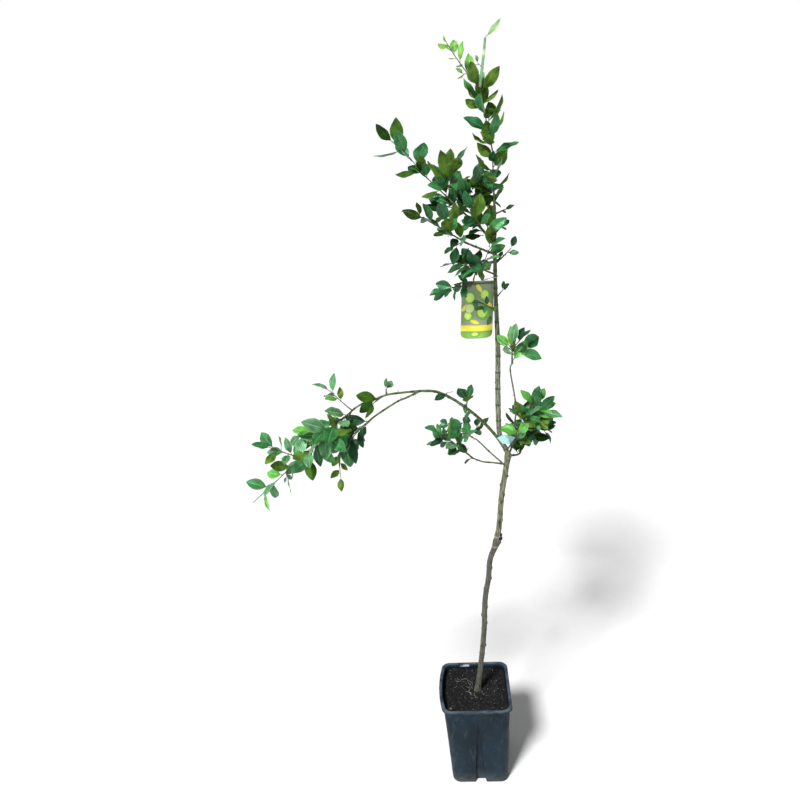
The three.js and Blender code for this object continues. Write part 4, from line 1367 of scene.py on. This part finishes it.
def print_shape(pile, outline, layer, ink):
    """A flat printed shape with its map running from the middle to the edge"""
    centre = np.mean(outline, axis=0)
    points, maps = [label_point(*centre, PRINT_LIFT * layer)], [(0, 0)]
    inner = [(centre + (np.array(point) - centre) * 0.5) for point in outline]
    for ring, away in ((inner, 0.5), (outline, 1.0)):
        points += [label_point(*point, PRINT_LIFT * layer) for point in ring]
        maps += [(away, 0)] * len(outline)
    count = len(outline)
    faces = []
    for k in range(count):
        after = (k + 1) % count
        faces += [(0, 1 + k, 1 + after), (1 + k, 1 + count + k, 1 + count + after, 1 + after)]
    pile.add(points, faces, list(INKS).index(ink), maps)


def round_shape(x, z, wide, tall, lean=0.0, point=1.0, count=28):
    """An oval. A point over 1 draws its two ends out like a leaf's."""
    outline = []
    for k in range(count):
        angle = tau * k / count
        a, b = spin(wide * cos(angle), tall * sin(angle) * abs(sin(angle)) ** (point - 1), lean)
        outline.append((x + a, z + b))
    return outline


def build_label():
    pile = Pile()
    half = LABEL_WIDTH / 2 - 0.6
    steps = 24
    low = []
    for k in range(steps + 1):
        x = -half + 2 * half * k / steps
        low.append((x, label_low(x) + 0.8))
    print_shape(pile, [(-half, -0.6), *low, (half, -0.6)], 1, "ground")
    print_shape(pile, [(-half, -90), *low, (half, -90)], 2, "green")
    band = [(-half, -79), (-half, -90), (0, -91.5), (half, -90), (half, -79), (0, -80.5)]
    print_shape(pile, band, 3, "yellow")
    print_shape(pile, [(-half, -0.8), (-half, -16), (-14, -9), (-5, -0.8)], 2, "dark")
    for x, z, wide, tall in LIMES:
        print_shape(pile, round_shape(x, z, wide, tall), 3, "green")
        shine = round_shape(x - wide * 0.15, z + tall * 0.1, wide * 0.72, tall * 0.72)
        print_shape(pile, shine, 4, "lime")
    for *place, ink in SPRIGS:
        print_shape(pile, round_shape(*place, 1.35), 5, ink)
    x, z, radius = SLICE
    print_shape(pile, round_shape(x, z, radius, radius), 6, "green")
    print_shape(pile, round_shape(x, z, radius * 0.9, radius * 0.9), 7, "white")
    for k in range(WEDGES):
        wedge = []
        for reach, turn in WEDGE:
            angle = tau * k / WEDGES + turn
            wedge.append((x + radius * reach * cos(angle), z + radius * reach * sin(angle)))
        print_shape(pile, wedge, 8, "lime")
    inks = [disc_look(f"print_{ink}", *colours) for ink, colours in INKS.items()]
    pile.piece("label_print", inks, "card")
    give_look("label", grained_look("label_card", (0.62, 0.66, 0.56), 0.45, 500, 0.06, 0.1, 0.5))
    loop = Pile()

    def twist(point, out, run, angle):
        return 0.12 * sin(3 * angle + run * 2.2)

    path = curve(LOOP_POINTS, 14, closed=True)
    loop.add(*tube(path, lambda u, point: LOOP_RADIUS, 12, twist))
    tie = grained_look("tie_plastic", (0.5, 0.53, 0.5), 0.5, 700, 0.15, 0.3, 0.45)
    loop.piece("label_tie", [tie], "tie", ["label_loop"])
    give_look("tag", grained_look("tag_plastic", (0.36, 0.66, 0.66), 0.42, 220, 0.12, 0.15, 0.5))


def give_look(node, material):
    """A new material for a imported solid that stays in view"""
    thing = frame["nodes"][node]
    for slot in thing.material_slots:
        slot.material = material


add_light()
build_floor()
build_limbs()
grow_foliage()
build_pot()
build_soil()
build_roots()
build_label()

bpy.context.view_layer.update()
